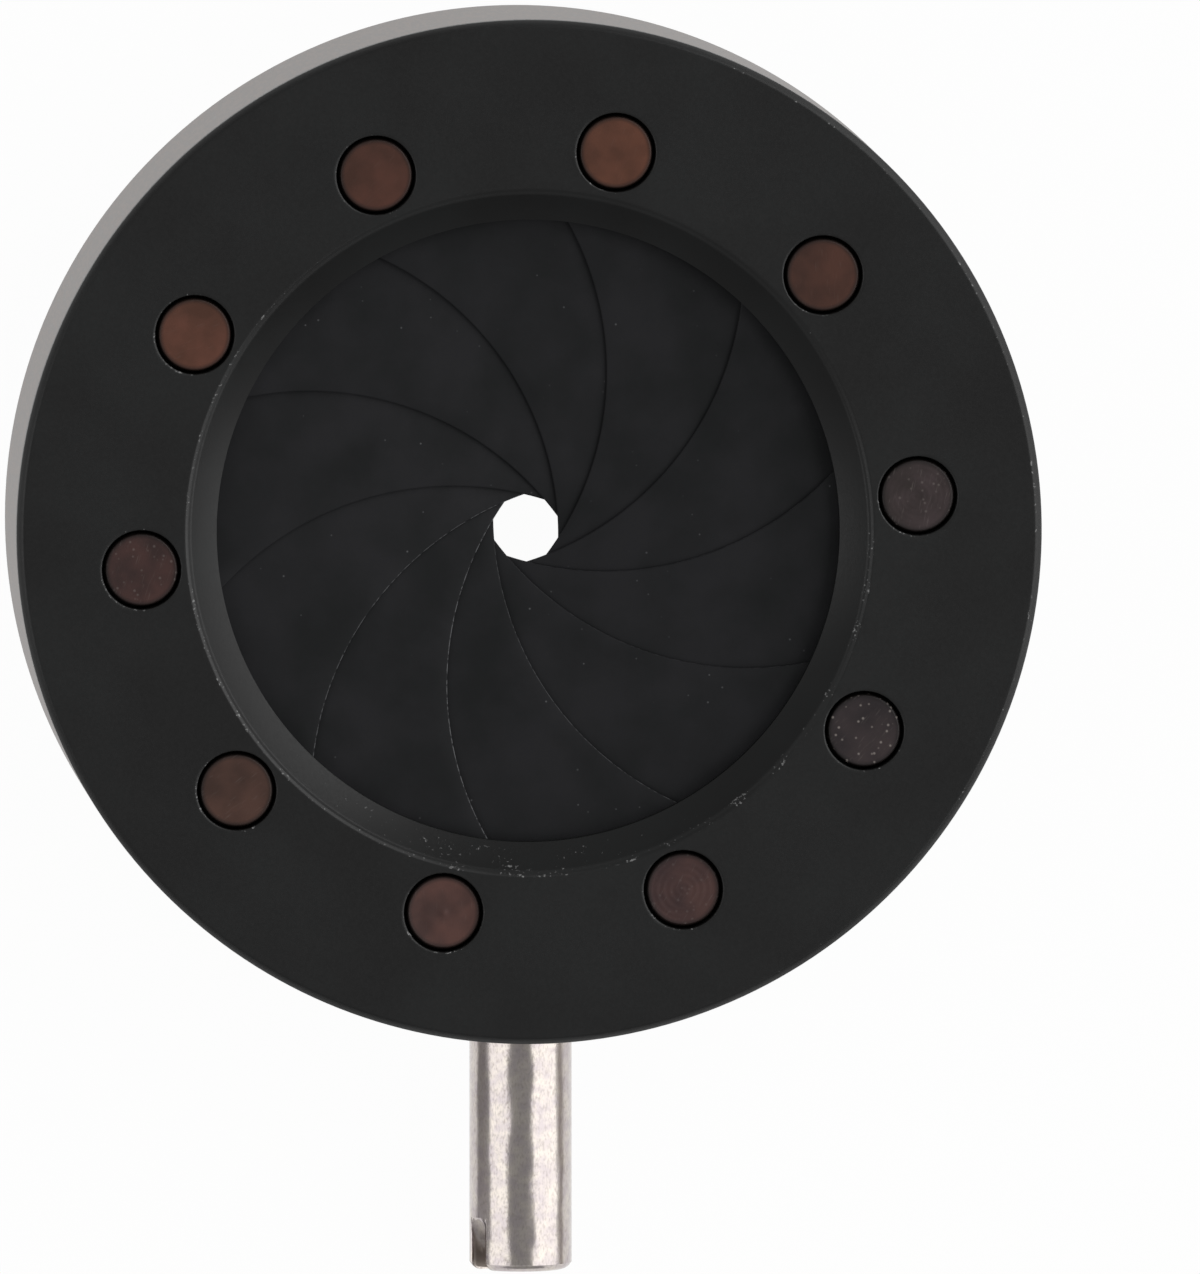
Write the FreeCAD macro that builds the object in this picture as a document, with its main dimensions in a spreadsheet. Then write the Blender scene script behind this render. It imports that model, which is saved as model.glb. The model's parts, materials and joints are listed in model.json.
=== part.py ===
import FreeCAD, Part
import Sketcher
import math
import os

# Iris diaphragm, sizes in millimetres. The origin lies on the optical axis, in the middle of the
# leaf space. +Z points out of the front face and the lever points along -Y. It is drawn fully closed.

LEAF_COUNT = 10

# Driving dimensions: name, value, meaning
DIMENSIONS = (
    ("outer_radius", 10.0, "outside of the housing, a 20 mm barrel"),
    ("total_thickness", 5.0, "rear rim to front face"),
    ("wall_thickness", 0.8, "wall of the housing ring"),
    ("edge_break", 0.15, "chamfer on the outer edges"),
    ("plate_thickness", 0.75, "front face to the underside of the pivot plate"),
    ("flange_thickness", 0.3, "flange of the pivot plate that caps the housing ring"),
    ("rim_width", 3.92, "outside of the housing to the clear aperture"),
    ("bore_chamfer", 0.64, "funnel around the clear aperture"),
    ("pivot_azimuth", 5.2, "direction of the first pivot stud, degrees"),
    ("pivot_stud_radius", 0.72, "pivot stud"),
    ("pivot_play", 0.05, "gap around a pivot stud in its hole"),
    ("pivot_recess", 0.06, "pivot stud end below the front face"),
    ("stud_edge_break", 0.05, "chamfer on the studs"),
    ("rivet_radius", 0.4, "riveted neck of a stud, in the leaf"),
    ("leaf_edge_lap", 0.02, "inner edge of an open leaf behind the edge of the clear aperture"),
    ("leaf_wall_play", 0.1, "gap between the open leaves and the housing wall"),
    ("leaf_thickness", 0.05, "sheet of a leaf"),
    ("leaf_gap", 0.025, "gap between two leaves where they cross"),
    ("leaf_end_play", 0.03, "gap above and below the stack of leaves"),
    ("closed_radius", 0.63, "centre to the flats of the smallest opening"),
    ("flat_start", 6.0, "end of the flat pad at the pivot, degrees along the leaf"),
    ("drive_flat", 7.0, "flat pad before the drive stud, degrees along the leaf"),
    ("tail_corner", 10.0, "end of the inner edge before the drive stud, degrees along the leaf"),
    ("drive_pad_radius", 1.0, "round end of a leaf around its drive stud"),
    ("drive_stud_radius", 0.45, "drive stud"),
    ("drive_stud_length", 1.3, "drive stud below its leaf"),
    ("slot_side_play", 0.14, "gap beside a drive stud in its slot"),
    ("slot_end_play", 0.05, "gap beyond a drive stud at the ends of its slot"),
    ("slot_web", 0.318, "slotted ring between its bore and the stud slots"),
    ("slot_lead", -0.33, "slot ahead of the drive stud when closed, degrees"),
    ("swing_excess", 1.0043, "travel of the lever beyond that of a drive stud, degrees"),
    ("rotor_play", 0.06, "gap between the slotted ring and the housing wall"),
    ("rotor_end_play", 0.05, "gap between the slotted ring and the snap ring"),
    ("lever_radius", 1.0, "lever"),
    ("lever_projection", 4.65, "lever beyond the barrel"),
    ("lever_play", 0.05, "gap around the lever in the wall slot"),
    ("lever_rounding", 0.13, "edge of the lever end"),
    ("lever_seat_depth", 0.09, "flat for the lever on the slotted ring"),
    ("tip_radius", 0.7, "thin end of the lever"),
    ("tip_length", 1.4, "thin end of the lever"),
    ("driver_slot_width", 0.5, "screwdriver slot in the lever end"),
    ("driver_slot_depth", 1.0, "screwdriver slot in the lever end"),
    ("driver_slot_turn", 152.0, "screwdriver slot, degrees from the front"),
    ("snap_ring_lift", 0.3, "rear rim to the snap ring"),
    ("snap_ring_thickness", 0.4, "snap ring"),
    ("snap_ring_width", 1.1, "snap ring, across its flat"),
    ("snap_ring_play", 0.02, "gap around the snap ring in its groove"),
    ("groove_depth", 0.3, "snap ring groove in the wall"),
    ("snap_ring_gap", 24.0, "opening in the snap ring, degrees"),
)

# How the leaves weave. A leaf crosses its neighbours most often at the aperture, and less often
# towards its ends. It falls by one layer, a leaf and a gap, from each crossing to the next.
CROSSING_SPREAD = 0.37  # how much wider apart the crossings lie for each degree from the aperture
WIDEST_CROSSING = 13.4  # degrees between crossings near the ends of a leaf
WEAVE_POINTS = 25  # points of the curve along a leaf
SHEET_MARGIN = 0.5  # the sheet that a leaf is cut from, beyond the leaf's edges

CUT_MARGIN = 0.5  # a cutting profile, beyond the wall or rod that it cuts
FULL_TURN = 360.0


class Size:
    """A number together with the sheet formula that gives it."""

    def __init__(self, value, formula):
        self.value = value
        self.formula = formula

    def joined(self, other, sign, value):
        return Size(value, f"({self.formula} {sign} {as_size(other).formula})")

    def __add__(self, other):
        return self.joined(other, "+", self.value + as_size(other).value)

    def __sub__(self, other):
        return self.joined(other, "-", self.value - as_size(other).value)

    def __mul__(self, other):
        return self.joined(other, "*", self.value * as_size(other).value)

    def __truediv__(self, other):
        return self.joined(other, "/", self.value / as_size(other).value)


def as_size(number):
    return number if isinstance(number, Size) else Size(float(number), repr(float(number)))


class Sizes:
    """The sheet's dimensions by name, and the sizes that follow from them."""

    def __init__(self):
        for name, value, _meaning in DIMENSIONS:
            setattr(self, name, Size(value, "Sizes." + name))
        # radii: an open leaf is a band between the clear aperture and the housing wall
        self.bore_radius = self.outer_radius - self.rim_width
        self.wall_radius = self.outer_radius - self.wall_thickness
        self.leaf_edge_radius = self.bore_radius + self.leaf_edge_lap
        self.leaf_outer_radius = self.wall_radius - self.leaf_wall_play
        self.pivot_pad_radius = (self.leaf_outer_radius - self.leaf_edge_radius) / 2
        self.pivot_circle = self.leaf_edge_radius + self.pivot_pad_radius
        self.drive_circle = self.leaf_outer_radius - self.drive_pad_radius
        self.pivot_hole_radius = self.pivot_stud_radius + self.pivot_play
        self.rotor_bore_radius = self.leaf_edge_radius
        self.rotor_radius = self.wall_radius - self.rotor_play
        # the stud slots end a web away from the ring's bore, which settles how long a leaf is
        self.slot_half_width = self.drive_stud_radius + self.slot_side_play
        self.slot_near = self.rotor_bore_radius + self.slot_web + self.slot_half_width
        self.slot_far = self.drive_circle + self.slot_end_play
        self.drive_angle = as_size(self.angle_to_drive_stud())
        self.flat_end = self.drive_angle - self.drive_flat
        self.corner_angle = self.drive_angle - self.tail_corner
        # travel of the lever, degrees
        drive_travel = FULL_TURN - self.drive_angle.value - self.closed_drive_azimuth()
        self.swing = self.swing_excess + drive_travel
        # heights, from the middle of the leaf space
        self.layer = self.leaf_thickness + self.leaf_gap
        self.leaf_fall = self.layer * (self.layers(self.flat_end.value) - self.layers(self.flat_start.value))
        leaf_space = self.leaf_fall + self.leaf_thickness + self.leaf_end_play * 2
        self.plate_under = leaf_space / 2
        self.front = self.plate_under + self.plate_thickness
        self.rear = self.front - self.total_thickness
        self.flange_under = self.front - self.flange_thickness
        self.pivot_pad_top = self.plate_under - self.leaf_end_play
        self.pivot_pad_under = self.pivot_pad_top - self.leaf_thickness
        self.drive_pad_top = self.pivot_pad_top - self.leaf_fall
        self.drive_pad_under = self.drive_pad_top - self.leaf_thickness
        self.rotor_top = self.drive_pad_under - self.leaf_end_play
        self.snap_ring_under = self.rear + self.snap_ring_lift
        self.snap_ring_top = self.snap_ring_under + self.snap_ring_thickness
        self.rotor_under = self.snap_ring_top + self.rotor_end_play
        self.lever_height = (self.rotor_top + self.rotor_under) / 2
        self.lever_seat = self.rotor_radius - self.lever_seat_depth

    def closing_angle(self):
        """Turn of a leaf from open to closed, from the chord that its inner edge's centre moves along."""
        chord = self.leaf_edge_radius.value - self.closed_radius.value
        return math.degrees(2 * math.asin(chord / (2 * self.pivot_circle.value)))

    def layers(self, angle):
        """Layers that a leaf falls between the aperture and an angle along it.

        The crossings lie a spacing apart that is the root of two squares: the spacing at the aperture,
        and a share of the distance from it, up to the widest spacing. The layers add up one over the
        spacing, which gives an inverse hyperbolic sine, and a straight fall beyond it.
        """
        half_side = self.closed_radius.value * math.tan(math.pi / LEAF_COUNT)
        nearest = math.degrees(2 * half_side / self.leaf_edge_radius.value)
        distance = angle - (90 - self.closing_angle() / 2)
        straight_from = math.sqrt(WIDEST_CROSSING**2 - nearest**2) / CROSSING_SPREAD
        curved = min(abs(distance), straight_from)
        straight = abs(distance) - curved
        layers = math.asinh(CROSSING_SPREAD * curved / nearest) / CROSSING_SPREAD
        return math.copysign(layers + straight / WIDEST_CROSSING, distance)

    def angle_to_drive_stud(self):
        """Degrees along a leaf from its pivot stud to its drive stud.

        Half way through its travel a drive stud lies opposite its pivot stud, at the inner ends of the
        slots. That gives the distance between the studs, and the law of cosines the angle.
        """
        pivot = self.pivot_circle.value
        drive = self.drive_circle.value
        between = pivot + self.slot_near.value + self.slot_end_play.value
        return math.degrees(math.acos((pivot**2 + drive**2 - between**2) / (2 * pivot * drive)))

    def closed_drive_azimuth(self):
        """Direction of a drive stud from the direction of its pivot stud, with the iris closed."""
        stud = closing(self).multVec(polar(self.drive_circle.value, -self.drive_angle.value))
        return math.degrees(math.atan2(stud.y, stud.x))


def polar(radius, degrees, height=0.0):
    angle = math.radians(degrees)
    return FreeCAD.Vector(radius * math.cos(angle), radius * math.sin(angle), height)


def turned(degrees):
    return FreeCAD.Placement(FreeCAD.Vector(), FreeCAD.Rotation(FreeCAD.Vector(0, 0, 1), degrees))


def make_sheet(doc):
    sheet = doc.addObject("Spreadsheet::Sheet", "Sizes")
    for row, (name, value, meaning) in enumerate(DIMENSIONS, start=1):
        sheet.set(f"A{row}", name)
        sheet.set(f"B{row}", str(value))
        sheet.set(f"C{row}", meaning)
        sheet.setAlias(f"B{row}", name)
    doc.recompute()


def new_body(doc, label):
    body = doc.addObject("PartDesign::Body", label)
    body.Label = label
    return body


def origin_plane(body, role):
    return next(item for item in body.Origin.OriginFeatures if item.Role == role)


def new_sketch(body, name, role):
    sketch = body.newObject("Sketcher::SketchObject", name)
    sketch.AttachmentSupport = [(origin_plane(body, role), "")]
    sketch.MapMode = "FlatFace"
    return sketch


def fix_point(sketch, curve, end, across, up):
    """Ties one end of a sketch curve to the origin by its two distances."""
    for kind, size in (("DistanceX", across), ("DistanceY", up)):
        size = as_size(size)
        index = sketch.addConstraint(Sketcher.Constraint(kind, -1, 1, curve, end, size.value))
        sketch.setExpression(f"Constraints[{index}]", size.formula)


def add_outline(sketch, corners):
    """A closed outline of straight lines through corners given as sizes."""
    points = [FreeCAD.Vector(as_size(x).value, as_size(y).value, 0) for x, y in corners]
    count = len(points)
    first = sketch.GeometryCount
    for n in range(count):
        sketch.addGeometry(Part.LineSegment(points[n], points[(n + 1) % count]), False)
    for n in range(count):
        sketch.addConstraint(
            Sketcher.Constraint("Coincident", first + n, 2, first + (n + 1) % count, 1)
        )
    for n, (across, up) in enumerate(corners):
        fix_point(sketch, first + n, 1, across, up)


def add_circle(sketch, across, up, radius):
    across, up, radius = as_size(across), as_size(up), as_size(radius)
    centre = FreeCAD.Vector(across.value, up.value, 0)
    curve = sketch.addGeometry(Part.Circle(centre, FreeCAD.Vector(0, 0, 1), radius.value), False)
    fix_point(sketch, curve, 3, across, up)
    index = sketch.addConstraint(Sketcher.Constraint("Radius", curve, radius.value))
    sketch.setExpression(f"Constraints[{index}]", radius.formula)


def add_slot(sketch, near, far, half_width):
    """A slot along the sketch's horizontal axis, with its round ends centred at two distances."""
    near, far, half_width = as_size(near), as_size(far), as_size(half_width)
    upward = FreeCAD.Vector(0, half_width.value, 0)
    normal = FreeCAD.Vector(0, 0, 1)
    ends = []
    for centre, start in ((near, math.pi / 2), (far, -math.pi / 2)):
        point = FreeCAD.Vector(centre.value, 0, 0)
        circle = Part.Circle(point, normal, half_width.value)
        ends.append(sketch.addGeometry(Part.ArcOfCircle(circle, start, start + math.pi), False))
    left, right = FreeCAD.Vector(near.value, 0, 0), FreeCAD.Vector(far.value, 0, 0)
    lower = sketch.addGeometry(Part.LineSegment(left - upward, right - upward), False)
    upper = sketch.addGeometry(Part.LineSegment(right + upward, left + upward), False)
    loop = ((ends[0], 2, lower, 1), (lower, 2, ends[1], 1), (ends[1], 2, upper, 1), (upper, 2, ends[0], 1))
    for joint in loop:
        sketch.addConstraint(Sketcher.Constraint("Tangent", *joint))
    sketch.addConstraint(Sketcher.Constraint("Equal", ends[0], ends[1]))
    for end, centre in zip(ends, (near, far)):
        fix_point(sketch, end, 3, centre, 0)
    index = sketch.addConstraint(Sketcher.Constraint("Radius", ends[0], half_width.value))
    sketch.setExpression(f"Constraints[{index}]", half_width.formula)


def revolved(doc, label, corners, angle=FULL_TURN):
    """A body turned about its own Z axis from a profile of radius and height."""
    body = new_body(doc, label)
    sketch = new_sketch(body, label + "_profile", "XZ_Plane")
    add_outline(sketch, corners)
    feature = body.newObject("PartDesign::Revolution", label + "_turned")
    feature.Profile = sketch
    feature.ReferenceAxis = (sketch, ["V_Axis"])
    feature.Angle = as_size(angle).value
    if isinstance(angle, Size):
        feature.setExpression("Angle", angle.formula)
    sketch.Visibility = False
    return body


def cut_through(body, name, sketch):
    """A pocket right through the body, both ways from its sketch."""
    pocket = body.newObject("PartDesign::Pocket", name)
    pocket.Profile = sketch
    pocket.Type = "ThroughAll"
    pocket.Midplane = True
    return pocket


def repeat_around(body, name, feature, count, angle=FULL_TURN):
    """Copies of a feature spread about the body's Z axis."""
    axis = next(item for item in body.Origin.OriginFeatures if item.Role == "Z_Axis")
    pattern = body.newObject("PartDesign::PolarPattern", name)
    pattern.Originals = [feature]
    pattern.Axis = (axis, [""])
    pattern.Angle = as_size(angle).value
    pattern.Occurrences = count
    if isinstance(angle, Size):
        pattern.setExpression("Angle", angle.formula)
    body.Tip = pattern
    return pattern


def pivot_plate(doc, s):
    """Black front plate: a flange over the wall, a spigot inside it, a funnel bore and the pivot holes."""
    rim = s.outer_radius - s.edge_break
    funnel = s.bore_radius + s.bore_chamfer
    body = revolved(doc, "pivot_plate", (
        (s.bore_radius, s.plate_under),
        (s.wall_radius, s.plate_under),
        (s.wall_radius, s.flange_under),
        (s.outer_radius, s.flange_under),
        (s.outer_radius, s.front - s.edge_break),
        (rim, s.front),
        (funnel, s.front),
        (s.bore_radius, s.front - s.bore_chamfer),
    ))
    sketch = new_sketch(body, "pivot_hole_sketch", "XY_Plane")
    add_circle(sketch, s.pivot_circle, 0, s.pivot_hole_radius)
    sketch.setExpression("AttachmentOffset.Rotation.Angle", s.pivot_azimuth.formula)
    hole = cut_through(body, "pivot_hole", sketch)
    repeat_around(body, "pivot_holes", hole, LEAF_COUNT)


def housing_ring(doc, s):
    """Bare metal wall with the snap ring groove and the long slot that the lever swings in."""
    groove_radius = s.wall_radius + s.groove_depth
    groove_under = s.snap_ring_under - s.snap_ring_play
    groove_top = s.snap_ring_top + s.snap_ring_play
    body = revolved(doc, "housing_ring", (
        (s.wall_radius, s.rear),
        (s.outer_radius - s.edge_break, s.rear),
        (s.outer_radius, s.rear + s.edge_break),
        (s.outer_radius, s.flange_under),
        (s.wall_radius, s.flange_under),
        (s.wall_radius, groove_top),
        (groove_radius, groove_top),
        (groove_radius, groove_under),
        (s.wall_radius, groove_under),
    ))
    slot_radius = s.lever_radius + s.lever_play
    end_sketch = new_sketch(body, "slot_end_sketch", "XZ_Plane")
    add_circle(end_sketch, 0, s.lever_height, slot_radius)
    slot_end = body.newObject("PartDesign::Pocket", "slot_end")
    slot_end.Profile = end_sketch
    slot_end.Reversed = True
    slot_end.Length = s.outer_radius.value
    slot_end.setExpression("Length", s.outer_radius.formula)
    repeat_around(body, "slot_ends", slot_end, 2, s.swing)
    run_sketch = new_sketch(body, "slot_run_sketch", "YZ_Plane")
    outside = (s.outer_radius + CUT_MARGIN) * -1
    inside = (s.wall_radius - CUT_MARGIN) * -1
    add_outline(run_sketch, (
        (outside, s.lever_height - slot_radius),
        (inside, s.lever_height - slot_radius),
        (inside, s.lever_height + slot_radius),
        (outside, s.lever_height + slot_radius),
    ))
    run = body.newObject("PartDesign::Groove", "slot_run")
    run.Profile = run_sketch
    run.ReferenceAxis = (run_sketch, ["V_Axis"])
    run.Angle = s.swing.value
    run.setExpression("Angle", s.swing.formula)
    body.Tip = run


def slotted_ring(doc, s):
    """Ring that the lever turns, with a radial slot for each drive stud and a seat for the lever."""
    body = revolved(doc, "slotted_ring", (
        (s.rotor_bore_radius, s.rotor_under),
        (s.rotor_radius, s.rotor_under),
        (s.rotor_radius, s.rotor_top),
        (s.rotor_bore_radius, s.rotor_top),
    ))
    sketch = new_sketch(body, "stud_slot_sketch", "XY_Plane")
    add_slot(sketch, s.slot_near, s.slot_far, s.slot_half_width)
    azimuth = s.pivot_azimuth.value + s.closed_drive_azimuth() + s.slot_lead.value
    sketch.AttachmentOffset = turned(azimuth)
    slot = cut_through(body, "stud_slot", sketch)
    repeat_around(body, "stud_slots", slot, LEAF_COUNT)
    for name, radius, depth in (
        ("lever_seat", s.lever_radius + s.lever_play, s.lever_seat),
        ("lever_hole", s.tip_radius, s.lever_seat - s.tip_length),
    ):
        sketch = new_sketch(body, name + "_sketch", "XZ_Plane")
        add_circle(sketch, 0, s.lever_height, radius)
        sketch.AttachmentOffset = FreeCAD.Placement(
            FreeCAD.Vector(0, 0, depth.value), FreeCAD.Rotation()
        )
        sketch.setExpression("AttachmentOffset.Base.z", depth.formula)
        pocket = body.newObject("PartDesign::Pocket", name)
        pocket.Profile = sketch
        pocket.Reversed = True
        pocket.Length = s.outer_radius.value
        pocket.setExpression("Length", s.outer_radius.formula)
        body.Tip = pocket


def lever(doc, s):
    """Round lever with a thin end in the slotted ring and a screwdriver slot in its outer end."""
    length = s.outer_radius + s.lever_projection - s.lever_seat
    tip_end = s.tip_length * -1
    body = revolved(doc, "lever", (
        (0, tip_end),
        (s.tip_radius, tip_end),
        (s.tip_radius, 0),
        (s.lever_radius, 0),
        (s.lever_radius, length),
        (0, length),
    ))
    doc.recompute()
    turned_rod = body.Tip
    end_edges = [
        f"Edge{n}"
        for n, edge in enumerate(turned_rod.Shape.Edges, start=1)
        if abs(edge.BoundBox.ZMin - length.value) < 1e-6 and len(edge.Vertexes) == 1
    ]
    rounding = body.newObject("PartDesign::Fillet", "lever_end_rounding")
    rounding.Base = (turned_rod, end_edges)
    rounding.Radius = s.lever_rounding.value
    rounding.setExpression("Radius", s.lever_rounding.formula)
    body.Tip = rounding
    sketch = new_sketch(body, "driver_slot_sketch", "XY_Plane")
    half_width = s.driver_slot_width / 2
    reach = s.lever_radius + CUT_MARGIN
    add_outline(sketch, (
        (reach * -1, half_width * -1),
        (reach, half_width * -1),
        (reach, half_width),
        (reach * -1, half_width),
    ))
    sketch.AttachmentOffset = FreeCAD.Placement(
        FreeCAD.Vector(0, 0, length.value),
        FreeCAD.Rotation(FreeCAD.Vector(0, 0, 1), s.driver_slot_turn.value),
    )
    sketch.setExpression("AttachmentOffset.Base.z", length.formula)
    sketch.setExpression("AttachmentOffset.Rotation.Angle", s.driver_slot_turn.formula)
    slot = body.newObject("PartDesign::Pocket", "driver_slot")
    slot.Profile = sketch
    slot.Length = s.driver_slot_depth.value
    slot.setExpression("Length", s.driver_slot_depth.formula)
    body.Tip = slot
    body.Placement = FreeCAD.Placement(
        FreeCAD.Vector(0, -s.lever_seat.value, s.lever_height.value),
        FreeCAD.Rotation(FreeCAD.Vector(1, 0, 0), FreeCAD.Vector(0, 0, 1), FreeCAD.Vector(0, -1, 0), "ZXY"),
    )


def snap_ring(doc, s):
    """Split flat ring in the wall's groove, which holds the slotted ring in."""
    outer = s.wall_radius + s.groove_depth - s.snap_ring_play
    inner = outer - s.snap_ring_width
    body = revolved(doc, "snap_ring", (
        (inner, s.snap_ring_under),
        (outer, s.snap_ring_under),
        (outer, s.snap_ring_top),
        (inner, s.snap_ring_top),
    ), as_size(FULL_TURN) - s.snap_ring_gap)
    body.Placement = turned(90 + s.snap_ring_gap.value / 2)


def leaf_depth(s, angle):
    """Fall of a leaf below its pivot pad, at an angle along it."""
    return s.layer.value * (s.layers(angle) - s.layers(s.flat_start.value))


def leaf_outline(s):
    """Outline of a leaf with the iris open: a band about the optical axis, with a round pad at each end."""
    inner = s.leaf_edge_radius.value
    outer = s.leaf_outer_radius.value
    last = s.drive_angle.value
    corner = polar(inner, -s.corner_angle.value)
    pivot_end = polar(s.pivot_circle.value, 0) + FreeCAD.Vector(0, s.pivot_pad_radius.value, 0)
    # the straight tail edge leaves the corner and touches the drive pad's circle
    pad = polar(s.drive_circle.value, -last)
    pad_radius = s.drive_pad_radius.value
    to_corner = corner - pad
    opening = math.degrees(math.acos(pad_radius / to_corner.Length))
    touch_angle = math.degrees(math.atan2(to_corner.y, to_corner.x)) - opening
    while touch_angle > -last:
        touch_angle -= FULL_TURN
    touch = pad + polar(pad_radius, touch_angle)
    tail = pad + polar(pad_radius, (touch_angle - last) / 2)
    edges = (
        Part.Arc(polar(outer, 0), pivot_end, polar(inner, 0)).toShape(),
        Part.Arc(polar(inner, 0), polar(inner, -s.corner_angle.value / 2), corner).toShape(),
        Part.LineSegment(corner, touch).toShape(),
        Part.Arc(touch, tail, polar(outer, -last)).toShape(),
        Part.Arc(polar(outer, -last), polar(outer, -last / 2), polar(outer, 0)).toShape(),
    )
    return Part.Face(Part.Wire(edges))


def flat_sector(near, far, start, end, height):
    """A flat four-cornered face between two angles along the leaf."""
    corners = (polar(near, -start, height), polar(far, -start, height),
               polar(far, -end, height), polar(near, -end, height))
    return Part.Face(Part.makePolygon(corners + corners[:1]))


def leaf_sheet(s):
    """The sheet that a leaf is cut from: flat at both pads and woven in between, rulings all radial."""
    near = s.leaf_edge_radius.value - SHEET_MARGIN
    far = s.leaf_outer_radius.value + SHEET_MARGIN
    top = s.pivot_pad_top.value
    start = s.flat_start.value
    end = s.flat_end.value
    angles = [start + (end - start) * n / (WEAVE_POINTS - 1) for n in range(WEAVE_POINTS)]
    edges = []
    for radius in (near, far):
        curve = Part.BSplineCurve()
        points = [polar(radius, -angle, top - leaf_depth(s, angle)) for angle in angles]
        curve.interpolate(Points=points, Parameters=angles)
        edges.append(curve.toShape())
    pad_reach = math.degrees(s.pivot_pad_radius.value / near) + 1
    tail_reach = math.degrees(s.drive_pad_radius.value / near) + 1
    faces = (
        flat_sector(near, far + SHEET_MARGIN, -pad_reach, start, top),
        Part.makeRuledSurface(edges[0], edges[1]),
        flat_sector(near, far + SHEET_MARGIN, end, s.drive_angle.value + tail_reach,
                    s.drive_pad_top.value),
    )
    return [face.extrude(FreeCAD.Vector(0, 0, -s.leaf_thickness.value)) for face in faces]


def leaf_shape(s):
    """One leaf, with the iris open and its pivot in direction 0."""
    outline = leaf_outline(s)
    outline.translate(FreeCAD.Vector(0, 0, s.rotor_top.value))
    prism = outline.extrude(FreeCAD.Vector(0, 0, s.plate_under.value - s.rotor_top.value))
    pieces = [piece.common(prism) for piece in leaf_sheet(s)]
    leaf = pieces[0].fuse(pieces[1:]).removeSplitter()
    depth = s.plate_under.value - s.rotor_top.value
    for centre in (polar(s.pivot_circle.value, 0), polar(s.drive_circle.value, -s.drive_angle.value)):
        base = centre + FreeCAD.Vector(0, 0, s.rotor_top.value)
        leaf = leaf.cut(Part.makeCylinder(s.rivet_radius.value, depth, base))
    return leaf


def leaves(doc, s):
    """The leaves, closed about their pivots, each turned on from the last by the same angle."""
    shape = leaf_shape(s)
    closed = closing(s)
    for n in range(LEAF_COUNT):
        leaf = doc.addObject("Part::Feature", f"leaf_{n + 1:02d}")
        leaf.Shape = shape.copy()
        leaf.Placement = turned(leaf_azimuth(s, n)).multiply(closed)


def leaf_azimuth(s, n):
    return s.pivot_azimuth.value + FULL_TURN * n / LEAF_COUNT


def closing(s):
    """The turn about its pivot that takes a leaf from open to closed."""
    turn = FreeCAD.Rotation(FreeCAD.Vector(0, 0, 1), -s.closing_angle())
    return FreeCAD.Placement(FreeCAD.Vector(), turn, polar(s.pivot_circle.value, 0))


def pivot_studs(doc, s):
    """Studs riveted to the leaves, which turn in the holes of the pivot plate."""
    top = s.front - s.pivot_recess
    for n in range(LEAF_COUNT):
        body = revolved(doc, f"pivot_stud_{n + 1:02d}", (
            (0, s.pivot_pad_under),
            (s.rivet_radius, s.pivot_pad_under),
            (s.rivet_radius, s.pivot_pad_top),
            (s.pivot_stud_radius, s.pivot_pad_top),
            (s.pivot_stud_radius, top - s.stud_edge_break),
            (s.pivot_stud_radius - s.stud_edge_break, top),
            (0, top),
        ))
        body.Placement.Base = polar(s.pivot_circle.value, leaf_azimuth(s, n))


def drive_studs(doc, s):
    """Studs riveted to the other ends of the leaves, which the slotted ring drives."""
    end = s.drive_pad_under - s.drive_stud_length
    closed = closing(s).multVec(polar(s.drive_circle.value, -s.drive_angle.value))
    for n in range(LEAF_COUNT):
        body = revolved(doc, f"drive_stud_{n + 1:02d}", (
            (0, s.drive_pad_top),
            (s.rivet_radius, s.drive_pad_top),
            (s.rivet_radius, s.drive_pad_under),
            (s.drive_stud_radius, s.drive_pad_under),
            (s.drive_stud_radius, end + s.stud_edge_break),
            (s.drive_stud_radius - s.stud_edge_break, end),
            (0, end),
        ))
        body.Placement.Base = turned(leaf_azimuth(s, n)).multVec(closed)


def check(doc):
    """Stops unless every object is sound and every piece is one valid solid."""
    for item in doc.Objects:
        if {"Invalid", "Error"} & set(item.State):
            raise RuntimeError(f"{item.Label} failed: {item.State}")
    for piece in pieces_of(doc):
        shape = piece.Shape
        if shape.isNull() or not shape.isValid() or len(shape.Solids) != 1:
            raise RuntimeError(f"{piece.Label} is not one valid solid")


def pieces_of(doc):
    return [item for item in doc.Objects if item.TypeId in ("PartDesign::Body", "Part::Feature")]


def main():
    doc = FreeCAD.newDocument("iris_diaphragm")
    make_sheet(doc)
    s = Sizes()
    for make in (pivot_plate, housing_ring, slotted_ring, lever, snap_ring,
                 leaves, pivot_studs, drive_studs):
        make(doc, s)
    doc.recompute()
    check(doc)
    os.makedirs("parts", exist_ok=True)
    for piece in pieces_of(doc):
        piece.Shape.exportStep(f"parts/{piece.Label}.step")
        print(f"{piece.Label}: {piece.Shape.Volume:.4f} mm3")
    print(f"closing angle {s.closing_angle():.4f} degrees, ratio {s.closing_angle() / s.swing.value:.6f}")


main()
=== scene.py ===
"""Looks of a ten-leaf iris diaphragm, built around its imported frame.

Shapes are worked out in millimetres, with the optical axis as Z, and written to the meshes in metres.
"""

import json
import math

import bmesh
import bpy
import numpy as np
from mathutils import Matrix, Vector


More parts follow.
